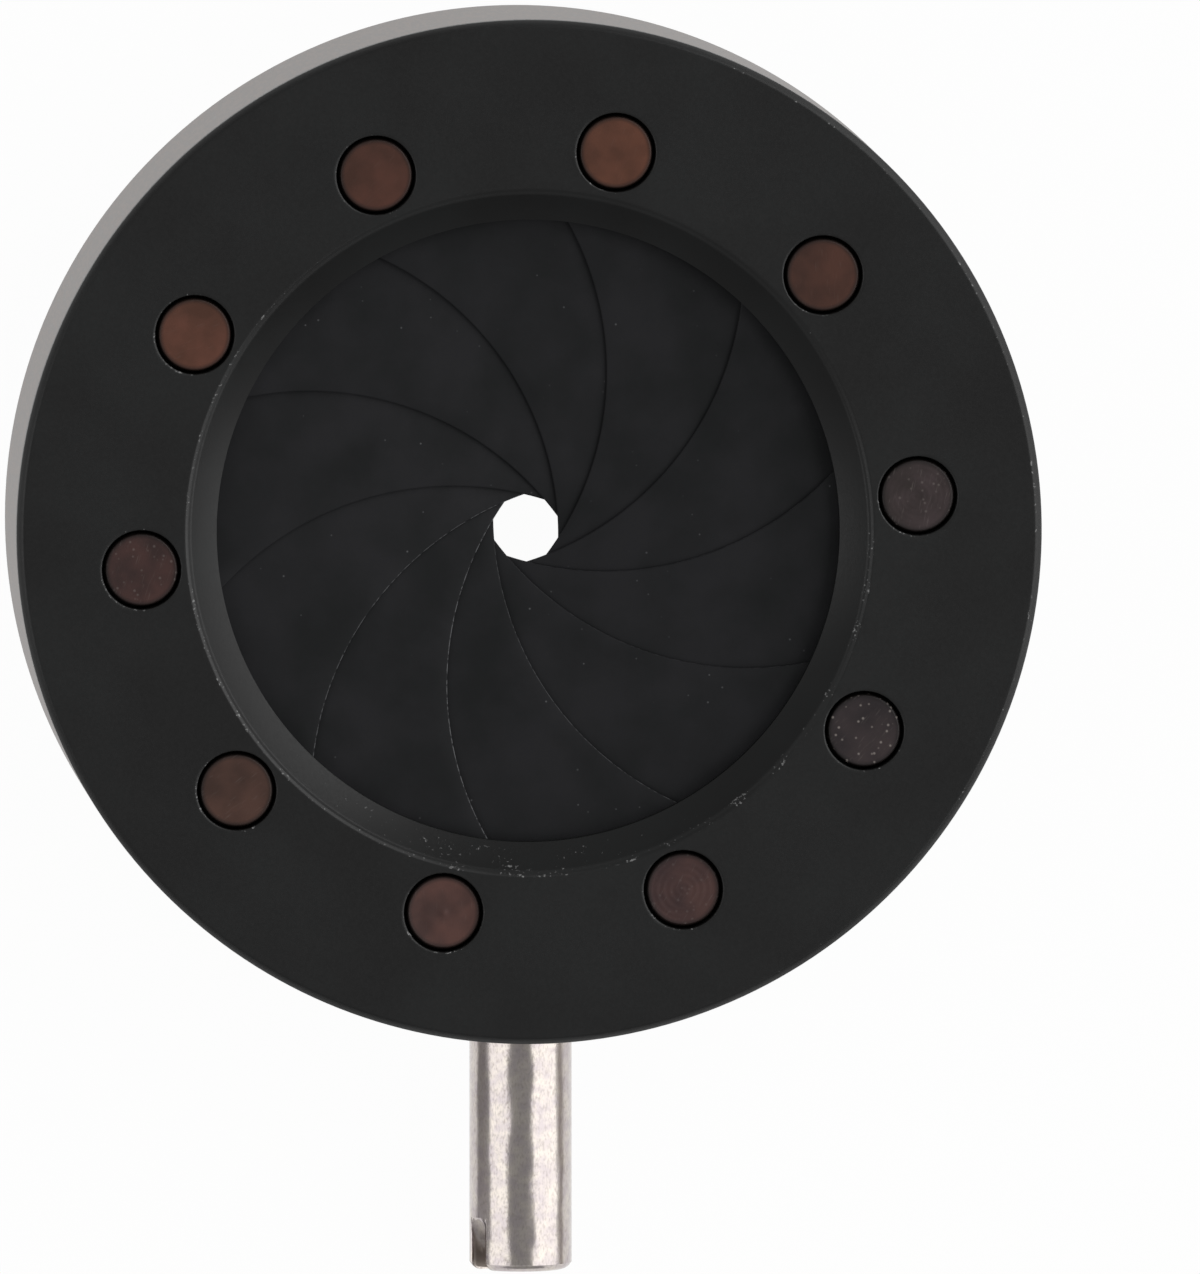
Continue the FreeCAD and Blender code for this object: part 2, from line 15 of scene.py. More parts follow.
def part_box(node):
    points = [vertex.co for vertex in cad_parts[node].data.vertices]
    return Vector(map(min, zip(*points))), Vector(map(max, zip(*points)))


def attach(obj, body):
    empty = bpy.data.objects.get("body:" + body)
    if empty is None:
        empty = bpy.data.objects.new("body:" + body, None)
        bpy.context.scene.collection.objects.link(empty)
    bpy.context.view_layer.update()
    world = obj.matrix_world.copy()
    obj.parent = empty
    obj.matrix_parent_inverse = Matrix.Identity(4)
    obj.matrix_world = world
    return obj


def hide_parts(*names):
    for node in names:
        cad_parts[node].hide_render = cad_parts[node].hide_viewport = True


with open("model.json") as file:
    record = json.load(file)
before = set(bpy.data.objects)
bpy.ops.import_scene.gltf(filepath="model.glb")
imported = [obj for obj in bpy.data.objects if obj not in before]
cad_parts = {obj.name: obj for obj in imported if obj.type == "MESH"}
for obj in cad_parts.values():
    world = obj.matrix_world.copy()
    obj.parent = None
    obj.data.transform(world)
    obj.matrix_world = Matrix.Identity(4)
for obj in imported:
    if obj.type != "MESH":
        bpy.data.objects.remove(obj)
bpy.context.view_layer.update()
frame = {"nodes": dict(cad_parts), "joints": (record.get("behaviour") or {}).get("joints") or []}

MM = 0.001
FULL_TURN = 2 * np.pi
SHARP_EDGE = math.radians(32)
WELD = 2e-7


def node_box(node):
    """Lowest and highest corner of a CAD node, in millimetres."""
    low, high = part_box(node)
    return np.array(low) / MM, np.array(high) / MM


# Sizes that the frame gives, in millimetres

PLATE_LOW, PLATE_HIGH = node_box("pivot_plate")
WALL_LOW, WALL_HIGH = node_box("housing_ring")
PIN_LOW, PIN_HIGH = node_box("pivot_stud_01")
LEVER_LOW, LEVER_HIGH = node_box("lever")
SNAP_LOW, SNAP_HIGH = node_box("snap_ring")

OUTER_RADIUS = PLATE_HIGH[0]
FRONT = PLATE_HIGH[2]
PLATE_UNDER = PLATE_LOW[2]
FLANGE_UNDER = WALL_HIGH[2]
REAR = WALL_LOW[2]
LEAF_TOP = node_box("leaf_01")[1][2]
PIN_RADIUS = (PIN_HIGH[0] - PIN_LOW[0]) / 2
LEVER_RADIUS = LEVER_HIGH[0]
LEVER_AXIS = (LEVER_LOW[2] + LEVER_HIGH[2]) / 2

JOINTS = {joint["name"]: joint for joint in frame["joints"]}
LEAF_NUMBERS = [f"{number:02d}" for number in range(1, 11)]
PIVOTS = [np.array(JOINTS[f"leaf_{number}_turn"]["pos_m"][:2]) / MM for number in LEAF_NUMBERS]
PIVOT_CIRCLE = float(np.hypot(*PIVOTS[0]))
PIVOT_AZIMUTHS = [math.atan2(pivot[1], pivot[0]) for pivot in PIVOTS]
SWING = math.radians(JOINTS["lever_swing"]["range_deg"][1])
STEP = FULL_TURN / len(LEAF_NUMBERS)

# Sizes that match the drawing of the parts, in millimetres, with angles along a leaf in degrees

WALL_RADIUS = 9.2
EDGE_BREAK = 0.15
BORE_RADIUS = 6.08
BORE_CHAMFER = 0.64
PIN_HOLE_RADIUS = 0.77
LEVER_SLOT_RADIUS = 1.05
GROOVE_RADIUS = 9.5
GROOVE_PLAY = 0.02
LEAF_EDGE_RADIUS = 6.1
LEAF_OUTER_RADIUS = 9.1
DRIVE_PAD_RADIUS = 1.0
LEAF_THICKNESS = 0.05
LEAF_LAYER = 0.075
CLOSED_RADIUS = 0.63
FLAT_START = 6.0
FLAT_END = 131.0
LEAF_CORNER = 128.0
DRIVE_ANGLE = 138.0
RIVET_RADIUS = 0.4
CROSSING_SPREAD = 0.37
WIDEST_CROSSING = 13.4
LEVER_SEAT = 9.05
TIP_RADIUS = 0.7
DRIVER_SLOT_HALF = 0.25
DRIVER_SLOT_DEPTH = 1.0
DRIVER_SLOT_TURN = math.radians(152)
DRIVER_SLOT_HUMP = 0.5
DRIVER_SLOT_RISE = 5
DRIVER_SLOT_BREAK = 0.035


# Surfaces

class Skin:
    """The surface of one piece, gathered from grids of points in millimetres.

    A grid has rows and columns. It faces the side that the direction down its rows, crossed with the
    direction along its columns, points to. Wear and painted light says for each point how bright an edge
    is rubbed and painted as lit by the lamps, or on the lever how deep a point lies in the screwdriver
    slot, where it is painted as shade.
    """

    def __init__(self):
        self.points, self.faces, self.wear = [], [], []
        self.count = 0

    def add(self, grid, wear=0.0, flip=False, closed=False):
        rows, columns = grid.shape[:2]
        index = self.count + np.arange(rows * columns).reshape(rows, columns)
        if closed:
            index = np.concatenate([index, index[:, :1]], axis=1)
        quads = np.stack([index[:-1, :-1], index[1:, :-1], index[1:, 1:], index[:-1, 1:]], axis=-1)
        quads = quads.reshape(-1, 4)
        self.points.append(grid.reshape(-1, 3))
        self.faces.append(quads[:, ::-1] if flip else quads)
        self.wear.append(np.broadcast_to(wear, (rows, columns)).reshape(-1))
        self.count += rows * columns

    def build(self, name, body, replaced, slot, material):
        """Makes the object, welds its grids, and lets it ride on its body in place of its CAD node."""
        points = np.concatenate(self.points) * MM
        faces = np.concatenate(self.faces)
        mesh = bpy.data.meshes.new(name)
        mesh.from_pydata(points, [], faces)
        wear = mesh.attributes.new("wear", "FLOAT", "POINT")
        wear.data.foreach_set("value", np.concatenate(self.wear).astype(np.float32))
        welded = bmesh.new()
        welded.from_mesh(mesh)
        bmesh.ops.remove_doubles(welded, verts=welded.verts, dist=WELD)
        welded.to_mesh(mesh)
        welded.free()
        mesh.shade_smooth()
        mesh.set_sharp_from_angle(angle=SHARP_EDGE)
        mesh.materials.append(material)
        piece = bpy.data.objects.new(name, mesh)
        bpy.context.scene.collection.objects.link(piece)
        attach(piece, body)
        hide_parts(replaced)
        return piece


def column(values):
    """Values as rows of one column, to go with a grid."""
    return np.asarray(values, dtype=float)[:, None]


def revolved(profile, azimuths, centre=(0.0, 0.0)):
    """Rows of a profile of (radius, height) carried around a centre: x is the radius times the cosine
    of the azimuth, y times its sine. A profile that runs outwards over the top and down the outside
    faces outwards."""
    profile = np.asarray(profile, dtype=float)
    radius, height = profile[:, :1], profile[:, 1:]
    x = centre[0] + radius * np.cos(azimuths)
    y = centre[1] + radius * np.sin(azimuths)
    return np.stack([x, y, np.broadcast_to(height, x.shape)], axis=-1)


def flat_grid(inside, outside, shares, height):
    """Rows between two lines of matched points in a plane: a share of the way from one to the other."""
    shares = column(shares)[..., None]
    flat = inside[None] * (1 - shares) + outside[None] * shares
    return np.concatenate([flat, np.full(flat.shape[:2] + (1,), height)], axis=-1)


def polar(radius, azimuth):
    """Points in a plane from their radius and azimuth."""
    return np.stack([radius * np.cos(azimuth), radius * np.sin(azimuth)], axis=-1)


def turned(points, angle, centre=(0.0, 0.0)):
    """Points turned about a line along Z: the plane's rotation about the centre."""
    moved = np.array(points, dtype=float)
    x, y = moved[..., 0] - centre[0], moved[..., 1] - centre[1]
    moved[..., 0] = centre[0] + x * np.cos(angle) - y * np.sin(angle)
    moved[..., 1] = centre[1] + x * np.sin(angle) + y * np.cos(angle)
    return moved


# Front plate

SECTOR_ARC = 24
SECTOR_SIDE = 8
SECTOR_SHARES = (0, 0.02, 0.06, 0.14, 0.28, 0.5, 0.75, 1)
HOLE_BREAK = 0.03
EDGE_BAND = 0.03
RIM_ROUNDING = 0.08
RIM_SLOPE = math.radians(38)
RIM_POINTS = 5
BORE_BREAK = 0.008
FUNNEL_BOW = 0.08
FUNNEL_DEPTH = 0.51
FUNNEL_LIP = 0.11
FUNNEL_WIDTH = BORE_CHAMFER - FUNNEL_LIP
FUNNEL_RADIUS = BORE_RADIUS + FUNNEL_WIDTH
FUNNEL_EDGE = 0.04
FUNNEL_POINTS = 13
FUNNEL_SHARE = 0.95
LIP_ROUNDING = 0.02
LIP_DROP = 0.005

# Rows down a pin hole's wall: how much wider than the hole, how deep under the face, what share of the
# way its points have gone from the face's directions to the underside's, and how rubbed and painted lit.
HOLE_ROWS = (
    (HOLE_BREAK, 0.0, 0.0, 1.0), (0.4 * HOLE_BREAK, 0.3 * HOLE_BREAK, 0.0, 1.0),
    (0.0, HOLE_BREAK, 0.0, 0.6), (0.0, 0.05, 0.05, 0.0), (0.0, 0.3, 0.4, 0.0), (0.0, 0.5, 0.7, 0.0),
    (0.0, FRONT - PLATE_UNDER, 1.0, 0.0),
)

# Rows of the rim under its rounding: how far inside the outer radius and how deep under the face. Then
# how rubbed and painted lit each row of the rim is, from the face over the rounding to the underside.
RIM_FALL = ((0.012, 0.095), (0.002, 0.115), (0.0, EDGE_BREAK))
RIM_RUBBED_AND_LIT = (0.0, 0.6, 1.0, 1.0, 1.0, 0.6, 0.6, 0.3, 0.0, 0.0, 0.0, 0.0)

# Rows of the ledge around the funnel: how far outside the funnel and how deep under the face. Then how
# rubbed and painted lit each row is, from the funnel's last one over the ledge to the lip.
LEDGE = ((0.0, FUNNEL_EDGE), (0.01, 0.035), (0.045, 0.034), (0.055, 0.03))
LEDGE_RUBBED_AND_LIT = (0.3, 0.3, 0.2, 0.3, 0.7, 1.0, 1.0)
SMOOTH_FUNNEL_ROWS = 5

# Edge lines of real wear, made brighter as a painted highlight where the edge faces the right lamp, and
# the density of real burrs: the direction in which each is the most, in degrees, its least and its most.
# Below 0 there is none.
HOLE_WEAR_AND_HIGHLIGHT = (-150, 0.42, 0.74)
RIM_WEAR_AND_HIGHLIGHT = (10, 0.3, 0.62)
LIP_WEAR_AND_HIGHLIGHT = (-145, 0.3, 0.95)
FUNNEL_BURRS = (-98, -0.25, 0.5)
LEDGE_BURRS = (-34, -0.3, 0.64)


def worn_and_lit_towards(azimuths, degrees, least, most):
    """Edge wear with its painted highlight, and burrs too, around an edge: the most in one direction,
    falling to the least with the square of half the cosine of the angle from it, plus one half."""
    near = (1 + np.cos(azimuths - math.radians(degrees))) / 2
    return least + (most - least) * near**2


def sector_edge(near, far):
    """The edge of a ring's tenth about azimuth 0, counter-clockwise from its outer arc's start:
    outer arc, side, inner arc and side, as points of one closed line."""
    half = STEP / 2
    outward = np.linspace(-half, half, SECTOR_ARC + 1)[:-1]
    along = np.linspace(0, 1, SECTOR_SIDE + 1)[:-1]
    upper = polar(far + (near - far) * along, half)
    lower = polar(near + (far - near) * along, -half)
    return np.concatenate([polar(far, outward), upper, polar(near, -outward), lower])


def holed_sector(near, far, hole_radius, height):
    """A ring's tenth around a round hole on the pivot circle: rows run from the hole's edge, in the
    direction of each point of the sector's edge, straight out to that point."""
    centre = np.array([PIVOT_CIRCLE, 0.0])
    edge = sector_edge(near, far)
    away = edge - centre
    direction = np.arctan2(away[:, 1], away[:, 0])
    hole = centre + polar(hole_radius, direction)
    return flat_grid(hole, edge, SECTOR_SHARES, height), direction


def holed_tenths(skin):
    """Both faces of the plate as ten holed tenths, joined by the walls of the holes."""
    near, far = FUNNEL_RADIUS + FUNNEL_LIP + EDGE_BAND, OUTER_RADIUS - EDGE_BREAK - EDGE_BAND
    top, top_direction = holed_sector(near, far, PIN_HOLE_RADIUS + HOLE_BREAK, FRONT)
    under, under_direction = holed_sector(BORE_RADIUS, WALL_RADIUS, PIN_HOLE_RADIUS, PLATE_UNDER)
    rows = []
    for wider, down, share, _rubbed_and_lit in HOLE_ROWS:
        direction = top_direction + (under_direction - top_direction) * share
        ring = np.array([PIVOT_CIRCLE, 0.0]) + polar(PIN_HOLE_RADIUS + wider, direction)
        rows.append(np.concatenate([ring, np.full((len(ring), 1), FRONT - down)], axis=-1))
    wall = np.stack(rows)
    hole_edge = column([1.0] + [0.0] * (len(top) - 1))
    rubbed_and_lit = column([row[-1] for row in HOLE_ROWS])
    # The holes' edge lines are real wear with a painted highlight, brightest towards the lower left
    # where the edge faces the right lamp.
    for azimuth in PIVOT_AZIMUTHS:
        worn_and_lit = worn_and_lit_towards(top_direction + azimuth, *HOLE_WEAR_AND_HIGHLIGHT)
        skin.add(turned(top, azimuth), wear=hole_edge * worn_and_lit, closed=True)
        skin.add(turned(under, azimuth), flip=True, closed=True)
        skin.add(turned(wall, azimuth), wear=rubbed_and_lit * worn_and_lit, flip=True, closed=True)


def rim_profile():
    """From the face over a rounding, by the sine and cosine of its slope, down to the underside."""
    rim = OUTER_RADIUS - EDGE_BREAK
    profile = [(rim - EDGE_BAND, FRONT)]
    for slope in np.linspace(0, RIM_SLOPE, RIM_POINTS):
        down = RIM_ROUNDING * (1 - math.cos(slope))
        profile.append((rim + RIM_ROUNDING * math.sin(slope), FRONT - down))
    profile += [(OUTER_RADIUS - inside, FRONT - down) for inside, down in RIM_FALL]
    flange = [(OUTER_RADIUS, FLANGE_UNDER), (WALL_RADIUS, FLANGE_UNDER), (WALL_RADIUS, PLATE_UNDER)]
    return profile + flange


def bore_profile():
    """Up the bore, out over the funnel, a cone that bows by its share times its share less one, then
    over the ledge and the rounded lip to the face."""
    lip = FUNNEL_RADIUS + FUNNEL_LIP
    bore_edge = FRONT - FUNNEL_DEPTH
    share = np.linspace(0, FUNNEL_SHARE, FUNNEL_POINTS)
    rise = (FUNNEL_DEPTH - FUNNEL_EDGE) * share * (1 + FUNNEL_BOW * (share - 1))
    funnel = list(zip(BORE_RADIUS + FUNNEL_WIDTH * share, bore_edge + rise))
    ledge = [(FUNNEL_RADIUS + outside, FRONT - down) for outside, down in LEDGE]
    rounded = [(lip - LIP_ROUNDING, FRONT - LIP_DROP), (lip, FRONT), (lip + EDGE_BAND, FRONT)]
    bore = [(BORE_RADIUS, PLATE_UNDER), (BORE_RADIUS, bore_edge - BORE_BREAK)]
    return bore + funnel + ledge + rounded


def front_plate(material):
    """The two faces with their holes, joined outside by the rim and inside by the bore and funnel."""
    skin = Skin()
    holed_tenths(skin)
    azimuths = PIVOT_AZIMUTHS[0] + STEP / 2 + np.arange(10 * SECTOR_ARC) * STEP / SECTOR_ARC
    # Painted highlight on the rim's and the lip's edge lines, over real wear, where they face the right
    # lamp; the funnel's and ledge's burrs are real.
    rim_worn_and_lit = column(RIM_RUBBED_AND_LIT) * worn_and_lit_towards(azimuths, *RIM_WEAR_AND_HIGHLIGHT)
    skin.add(revolved(rim_profile(), azimuths), wear=rim_worn_and_lit, closed=True)
    bore = bore_profile()
    below_ledge = len(bore) - len(LEDGE_RUBBED_AND_LIT) - 1
    rubbed_and_lit = column([0.0] * below_ledge + list(LEDGE_RUBBED_AND_LIT) + [0.0])
    row = column(np.arange(len(bore)))
    on_funnel = (row >= SMOOTH_FUNNEL_ROWS) & (row < len(bore) - 1)
    burred = np.maximum(on_funnel * worn_and_lit_towards(azimuths, *FUNNEL_BURRS),
                        (rubbed_and_lit > 0) * worn_and_lit_towards(azimuths, *LEDGE_BURRS))
    worn_and_lit = np.maximum(rubbed_and_lit * worn_and_lit_towards(azimuths, *LIP_WEAR_AND_HIGHLIGHT), burred)
    skin.add(revolved(bore, azimuths), wear=worn_and_lit, closed=True)
    return skin.build("front_plate", "housing", "pivot_plate", "black_anodised", material)


# Barrel wall

SLOT_START = -np.pi / 2
SLOT_END = SLOT_START + SWING
SLOT_END_POINTS = 15
SLOT_RUN_POINTS = 60
SOLID_POINTS = 188
WALL_ROWS = 9


def slot_run(radius):
    """Azimuths of a wall of this radius, once around from the lever slot's first tip, and half the
    slot's height there. In the round ends, the sine of the azimuth past the end, times the radius, is
    the slot's end radius times the cosine of a steady angle, and half the height is its sine."""
    steady = np.linspace(0, np.pi / 2, SLOT_END_POINTS)
    past_end = np.arcsin(LEVER_SLOT_RADIUS * np.cos(steady) / radius)
    end_height = LEVER_SLOT_RADIUS * np.sin(steady)
    run = np.linspace(SLOT_START, SLOT_END, SLOT_RUN_POINTS + 2)[1:-1]
    slot = np.concatenate([SLOT_START - past_end, run, SLOT_END + past_end[::-1]])
    height = np.concatenate([end_height, np.full(len(run), LEVER_SLOT_RADIUS), end_height[::-1]])
    solid = np.linspace(slot[-1], slot[0] + FULL_TURN, SOLID_POINTS + 2)[1:-1]
    return np.concatenate([slot, solid]), np.concatenate([height, np.zeros(len(solid))]), len(slot)


def wall_rows(radius, azimuths, heights):
    """Rows around a wall at heights that may differ along each row."""
    ring = polar(radius, azimuths)
    levels = [np.broadcast_to(height, (len(ring),))[:, None] for height in heights]
    return np.stack([np.concatenate([ring, level], axis=-1) for level in levels])


def barrel_wall(material):
    """The outer and inner wall, each in a band above and a band below the lever's slot, joined by the
    slot's two sides, the front seat, the rear rim and the snap ring's groove."""
    skin = Skin()
    outer, half, slot_count = slot_run(OUTER_RADIUS)
    inner = slot_run(WALL_RADIUS)[0]
    slot_top, slot_under = LEVER_AXIS + half, LEVER_AXIS - half
    shares = np.linspace(0, 1, WALL_ROWS)
    above = [FLANGE_UNDER + (slot_top - FLANGE_UNDER) * share for share in shares]
    rear_edge = REAR + EDGE_BREAK
    below = [slot_under + (rear_edge - slot_under) * share for share in shares]
    groove_top = SNAP_HIGH[2] + GROOVE_PLAY
    groove_under = SNAP_LOW[2] - GROOVE_PLAY
    below_inside = [slot_under + (groove_top - slot_under) * share for share in (0, 0.5, 1)]
    skin.add(wall_rows(OUTER_RADIUS, outer, above), closed=True)
    skin.add(wall_rows(OUTER_RADIUS, outer, below), closed=True)
    skin.add(wall_rows(WALL_RADIUS, inner, above), flip=True, closed=True)
    skin.add(wall_rows(WALL_RADIUS, inner, below_inside), flip=True, closed=True)
    for heights, flip in ((slot_top, False), (slot_under, True)):
        sides = [wall_rows(radius, azimuths, [heights])[0][:slot_count]
                 for radius, azimuths in ((OUTER_RADIUS, outer), (WALL_RADIUS, inner))]
        skin.add(np.stack(sides), flip=flip)
    seat = ((WALL_RADIUS, FLANGE_UNDER, inner), (OUTER_RADIUS, FLANGE_UNDER, outer))
    rear = (
        (OUTER_RADIUS, rear_edge, outer), (OUTER_RADIUS - EDGE_BREAK, REAR, outer),
        (WALL_RADIUS, REAR, inner), (WALL_RADIUS, groove_under, inner),
        (GROOVE_RADIUS, groove_under, inner), (GROOVE_RADIUS, groove_top, inner),
        (WALL_RADIUS, groove_top, inner),
    )
    for rows in (seat, rear):
        rings = [wall_rows(radius, azimuths, [height])[0] for radius, height, azimuths in rows]
        skin.add(np.stack(rings), closed=True)
    return skin.build("barrel_wall", "housing", "housing_ring", "turned_metal", material)


# Lever

SHOULDER_BREAK = 0.05
END_ROUNDING = 0.2
END_SLOPE = math.radians(25)
END_BREAK = 0.135
END_SHARES = (0, 0.35, 0.7, 1)
CORNER_ROWS = 7
CHEEK_ROWS = 4
CHEEK_POINTS = 41
FLOOR_ROWS = 13
ROD_ROWS = 16

# The slot goes over from the rod's polish to a rougher milled finish with painted shade, darker from
# each mouth inwards: its walls within a twelfth of half its length, its floor, which starts half dark,
# between a quarter and three eighths. The walls stay bright over the first tenth under the rod's end.
WALL_PARTS = 12
FLOOR_PARTS = 4
FLOOR_SHADE = 0.5
BRIGHT_END = 0.1


def lever_place(points):
    """Lever points from (across, up, along from the seat) to the object's place, the lever along -Y."""
    return np.stack([points[..., 0], -LEVER_SEAT - points[..., 2], LEVER_AXIS + points[..., 1]], axis=-1)


def lever_rod(material):
    """A round rod with its thin end in the slotted ring, and two half-round cheeks at its outer end
    with the screwdriver slot between them. A cheek's points are the radius times the cosine and sine
    of angles between the slot's walls. The slot's floor is half round across its width, and rises
    from both mouths to the middle, by a hump times one less a power of the share of the way across."""
    skin = Skin()
    length = -LEVER_LOW[1] - LEVER_SEAT
    tip_end = -LEVER_HIGH[1] - LEVER_SEAT
    floor = length - DRIVER_SLOT_DEPTH
    shoulder = floor + DRIVER_SLOT_HALF
    corner = np.linspace(np.pi / 2, END_SLOPE, CORNER_ROWS)
    radii = np.append(LEVER_RADIUS - END_ROUNDING * (1 - np.cos(corner)), [LEVER_RADIUS] * CHEEK_ROWS)
    straight = np.linspace(length - END_BREAK, shoulder, CHEEK_ROWS)
    heights = np.append(length - END_ROUNDING * (1 - np.sin(corner)), straight)
    share = np.linspace(0, 1, CHEEK_POINTS)
    edge_radii = column(radii - DRIVER_SLOT_BREAK)
    edge_start = np.arcsin(DRIVER_SLOT_HALF / edge_radii)
    start = np.arcsin((DRIVER_SLOT_HALF + DRIVER_SLOT_BREAK) / column(radii))
    angle = np.concatenate([edge_start, start + (np.pi - 2 * start) * share, np.pi - edge_start], axis=1)
    full_radii = np.repeat(column(radii), len(share), axis=1)
    reach = np.concatenate([edge_radii, full_radii, edge_radii], axis=1)
    across, up = reach * np.cos(angle), reach * np.sin(angle)
    along = np.broadcast_to(column(heights), across.shape)
    hump = DRIVER_SLOT_HUMP * (1 - np.abs(across / across[:, :1]) ** DRIVER_SLOT_RISE)
    below_end = np.clip((length - along) / (length - shoulder), 0, 1)
    wall = np.stack([across, np.full(across.shape, DRIVER_SLOT_HALF), along + hump * below_end], axis=-1)
    cheek = np.stack([across, up, along], axis=-1)
    from_mouth = 1 - np.abs(across / across[:, :1])
    # Painted shade: the slot's walls darker inwards from each mouth.
    wall_shade = np.clip(from_mouth * WALL_PARTS, 0, 1) * (below_end > BRIGHT_END)
    end_up = DRIVER_SLOT_HALF + column(END_SHARES) * (up[:1] - DRIVER_SLOT_HALF)
    end_across = np.broadcast_to(across[:1], end_up.shape)
    end = np.stack([end_across, end_up, np.full(end_up.shape, length)], axis=-1)
    for half_turn in (0.0, np.pi):
        turn = DRIVER_SLOT_TURN + half_turn
        skin.add(lever_place(turned(cheek, turn)))
        skin.add(lever_place(turned(end, turn)))
        skin.add(lever_place(turned(wall, turn)), wear=wall_shade, flip=True)
    steady = column(np.linspace(-np.pi / 2, np.pi / 2, FLOOR_ROWS))
    side = DRIVER_SLOT_HALF * np.sin(steady)
    mouth_height = shoulder - DRIVER_SLOT_HALF * np.cos(steady)
    mouth_reach = LEVER_RADIUS - DRIVER_SLOT_BREAK
    floor_across = across[-1] / across[-1, 0] * np.sqrt(mouth_reach**2 - side**2)
    floor_along = mouth_height + hump[-1]
    floor_side = np.broadcast_to(side, floor_across.shape)
    floor_grid = np.stack([floor_across, floor_side, floor_along], axis=-1)
    # Painted shade: the slot's floor darker inwards from each mouth.
    floor_shade = FLOOR_SHADE + np.clip(from_mouth[-1] * FLOOR_PARTS - 1, 0, 1 - FLOOR_SHADE)
    skin.add(lever_place(turned(floor_grid, DRIVER_SLOT_TURN)), wear=floor_shade)
    mouth = np.arcsin(side[:, 0] / mouth_reach)
    around = np.concatenate([angle[-1][:-1], (np.pi - mouth[::-1])[:-1],
                             (angle[-1] + np.pi)[:-1], (FULL_TURN + mouth)[:-1]])
    half_reach = np.concatenate([reach[-1][:-1], np.full(len(mouth) - 1, mouth_reach)])
    half_height = np.concatenate([np.full(len(angle[-1]) - 1, shoulder), mouth_height[:-1, 0]])
    top_height = column(np.tile(half_height, 2))
    top = np.concatenate([polar(np.tile(half_reach, 2), around), top_height], axis=-1)
    rod_heights = np.linspace(floor - DRIVER_SLOT_BREAK, SHOULDER_BREAK, ROD_ROWS)
    rod = [(LEVER_RADIUS, height) for height in rod_heights]
    rod += [(LEVER_RADIUS - SHOULDER_BREAK, 0.0), (TIP_RADIUS, 0.0)]
    rod += [(TIP_RADIUS, tip_end), (0.0, tip_end)]
    rows = np.concatenate([top[None], revolved(rod, around)])
    skin.add(lever_place(turned(rows, DRIVER_SLOT_TURN)), closed=True)
    return skin.build("lever_rod", "slotted_ring_and_lever", "lever", "lever_steel", material)


# Leaves

LEAF_EDGE_WIDTH = 0.03
LEAF_EDGE_DROP = 0.016
LEAF_EDGE_BEND = 0.35
BAND_POINTS = 97
CORNER_ANGLES = (129.0, 130.0)
BAND_ROWS = 11
PIVOT_ROUND_POINTS = 41
DRIVE_ROUND_POINTS = 33
START_POINTS = 5
LAST_ARC_POINTS = 7
PAD_SHARES = (0, 0.25, 0.6, 1)

# How bright the painted highlight on the edges of single leaves is, by the leaf's number; the others'
# edges have none.
LEAF_EDGE_HIGHLIGHT = {"07": 0.8, "08": 1.0, "09": 0.55, "10": 0.36, "01": 0.32}
CLOSING = 2 * math.asin((LEAF_EDGE_RADIUS - CLOSED_RADIUS) / (2 * PIVOT_CIRCLE))


def layers(angle):
    """Layers that a leaf falls between the aperture and an angle along it, in degrees: an inverse
    hyperbolic sine near the aperture, where the crossings are close, and a straight fall beyond."""
    half_side = CLOSED_RADIUS * math.tan(math.pi / len(LEAF_NUMBERS))
    nearest = math.degrees(2 * half_side / LEAF_EDGE_RADIUS)
    distance = angle - (90 - math.degrees(CLOSING) / 2)
    straight_from = math.sqrt(WIDEST_CROSSING**2 - nearest**2) / CROSSING_SPREAD
    curved = np.minimum(np.abs(distance), straight_from)
    straight = np.abs(distance) - curved
    return np.sign(distance) * (np.arcsinh(CROSSING_SPREAD * curved / nearest) / CROSSING_SPREAD
                                + straight / WIDEST_CROSSING)


def leaf_top(points):
    """Height of an open leaf's upper side: flat at both pads, and one layer lower at each crossing."""
    angle = -np.degrees(np.arctan2(points[..., 1], points[..., 0]))
    angle = np.where(angle < -90, angle + 360, angle)
    along = np.clip(angle, FLAT_START, FLAT_END)
    return LEAF_TOP - LEAF_LAYER * (layers(along) - layers(np.array(FLAT_START)))


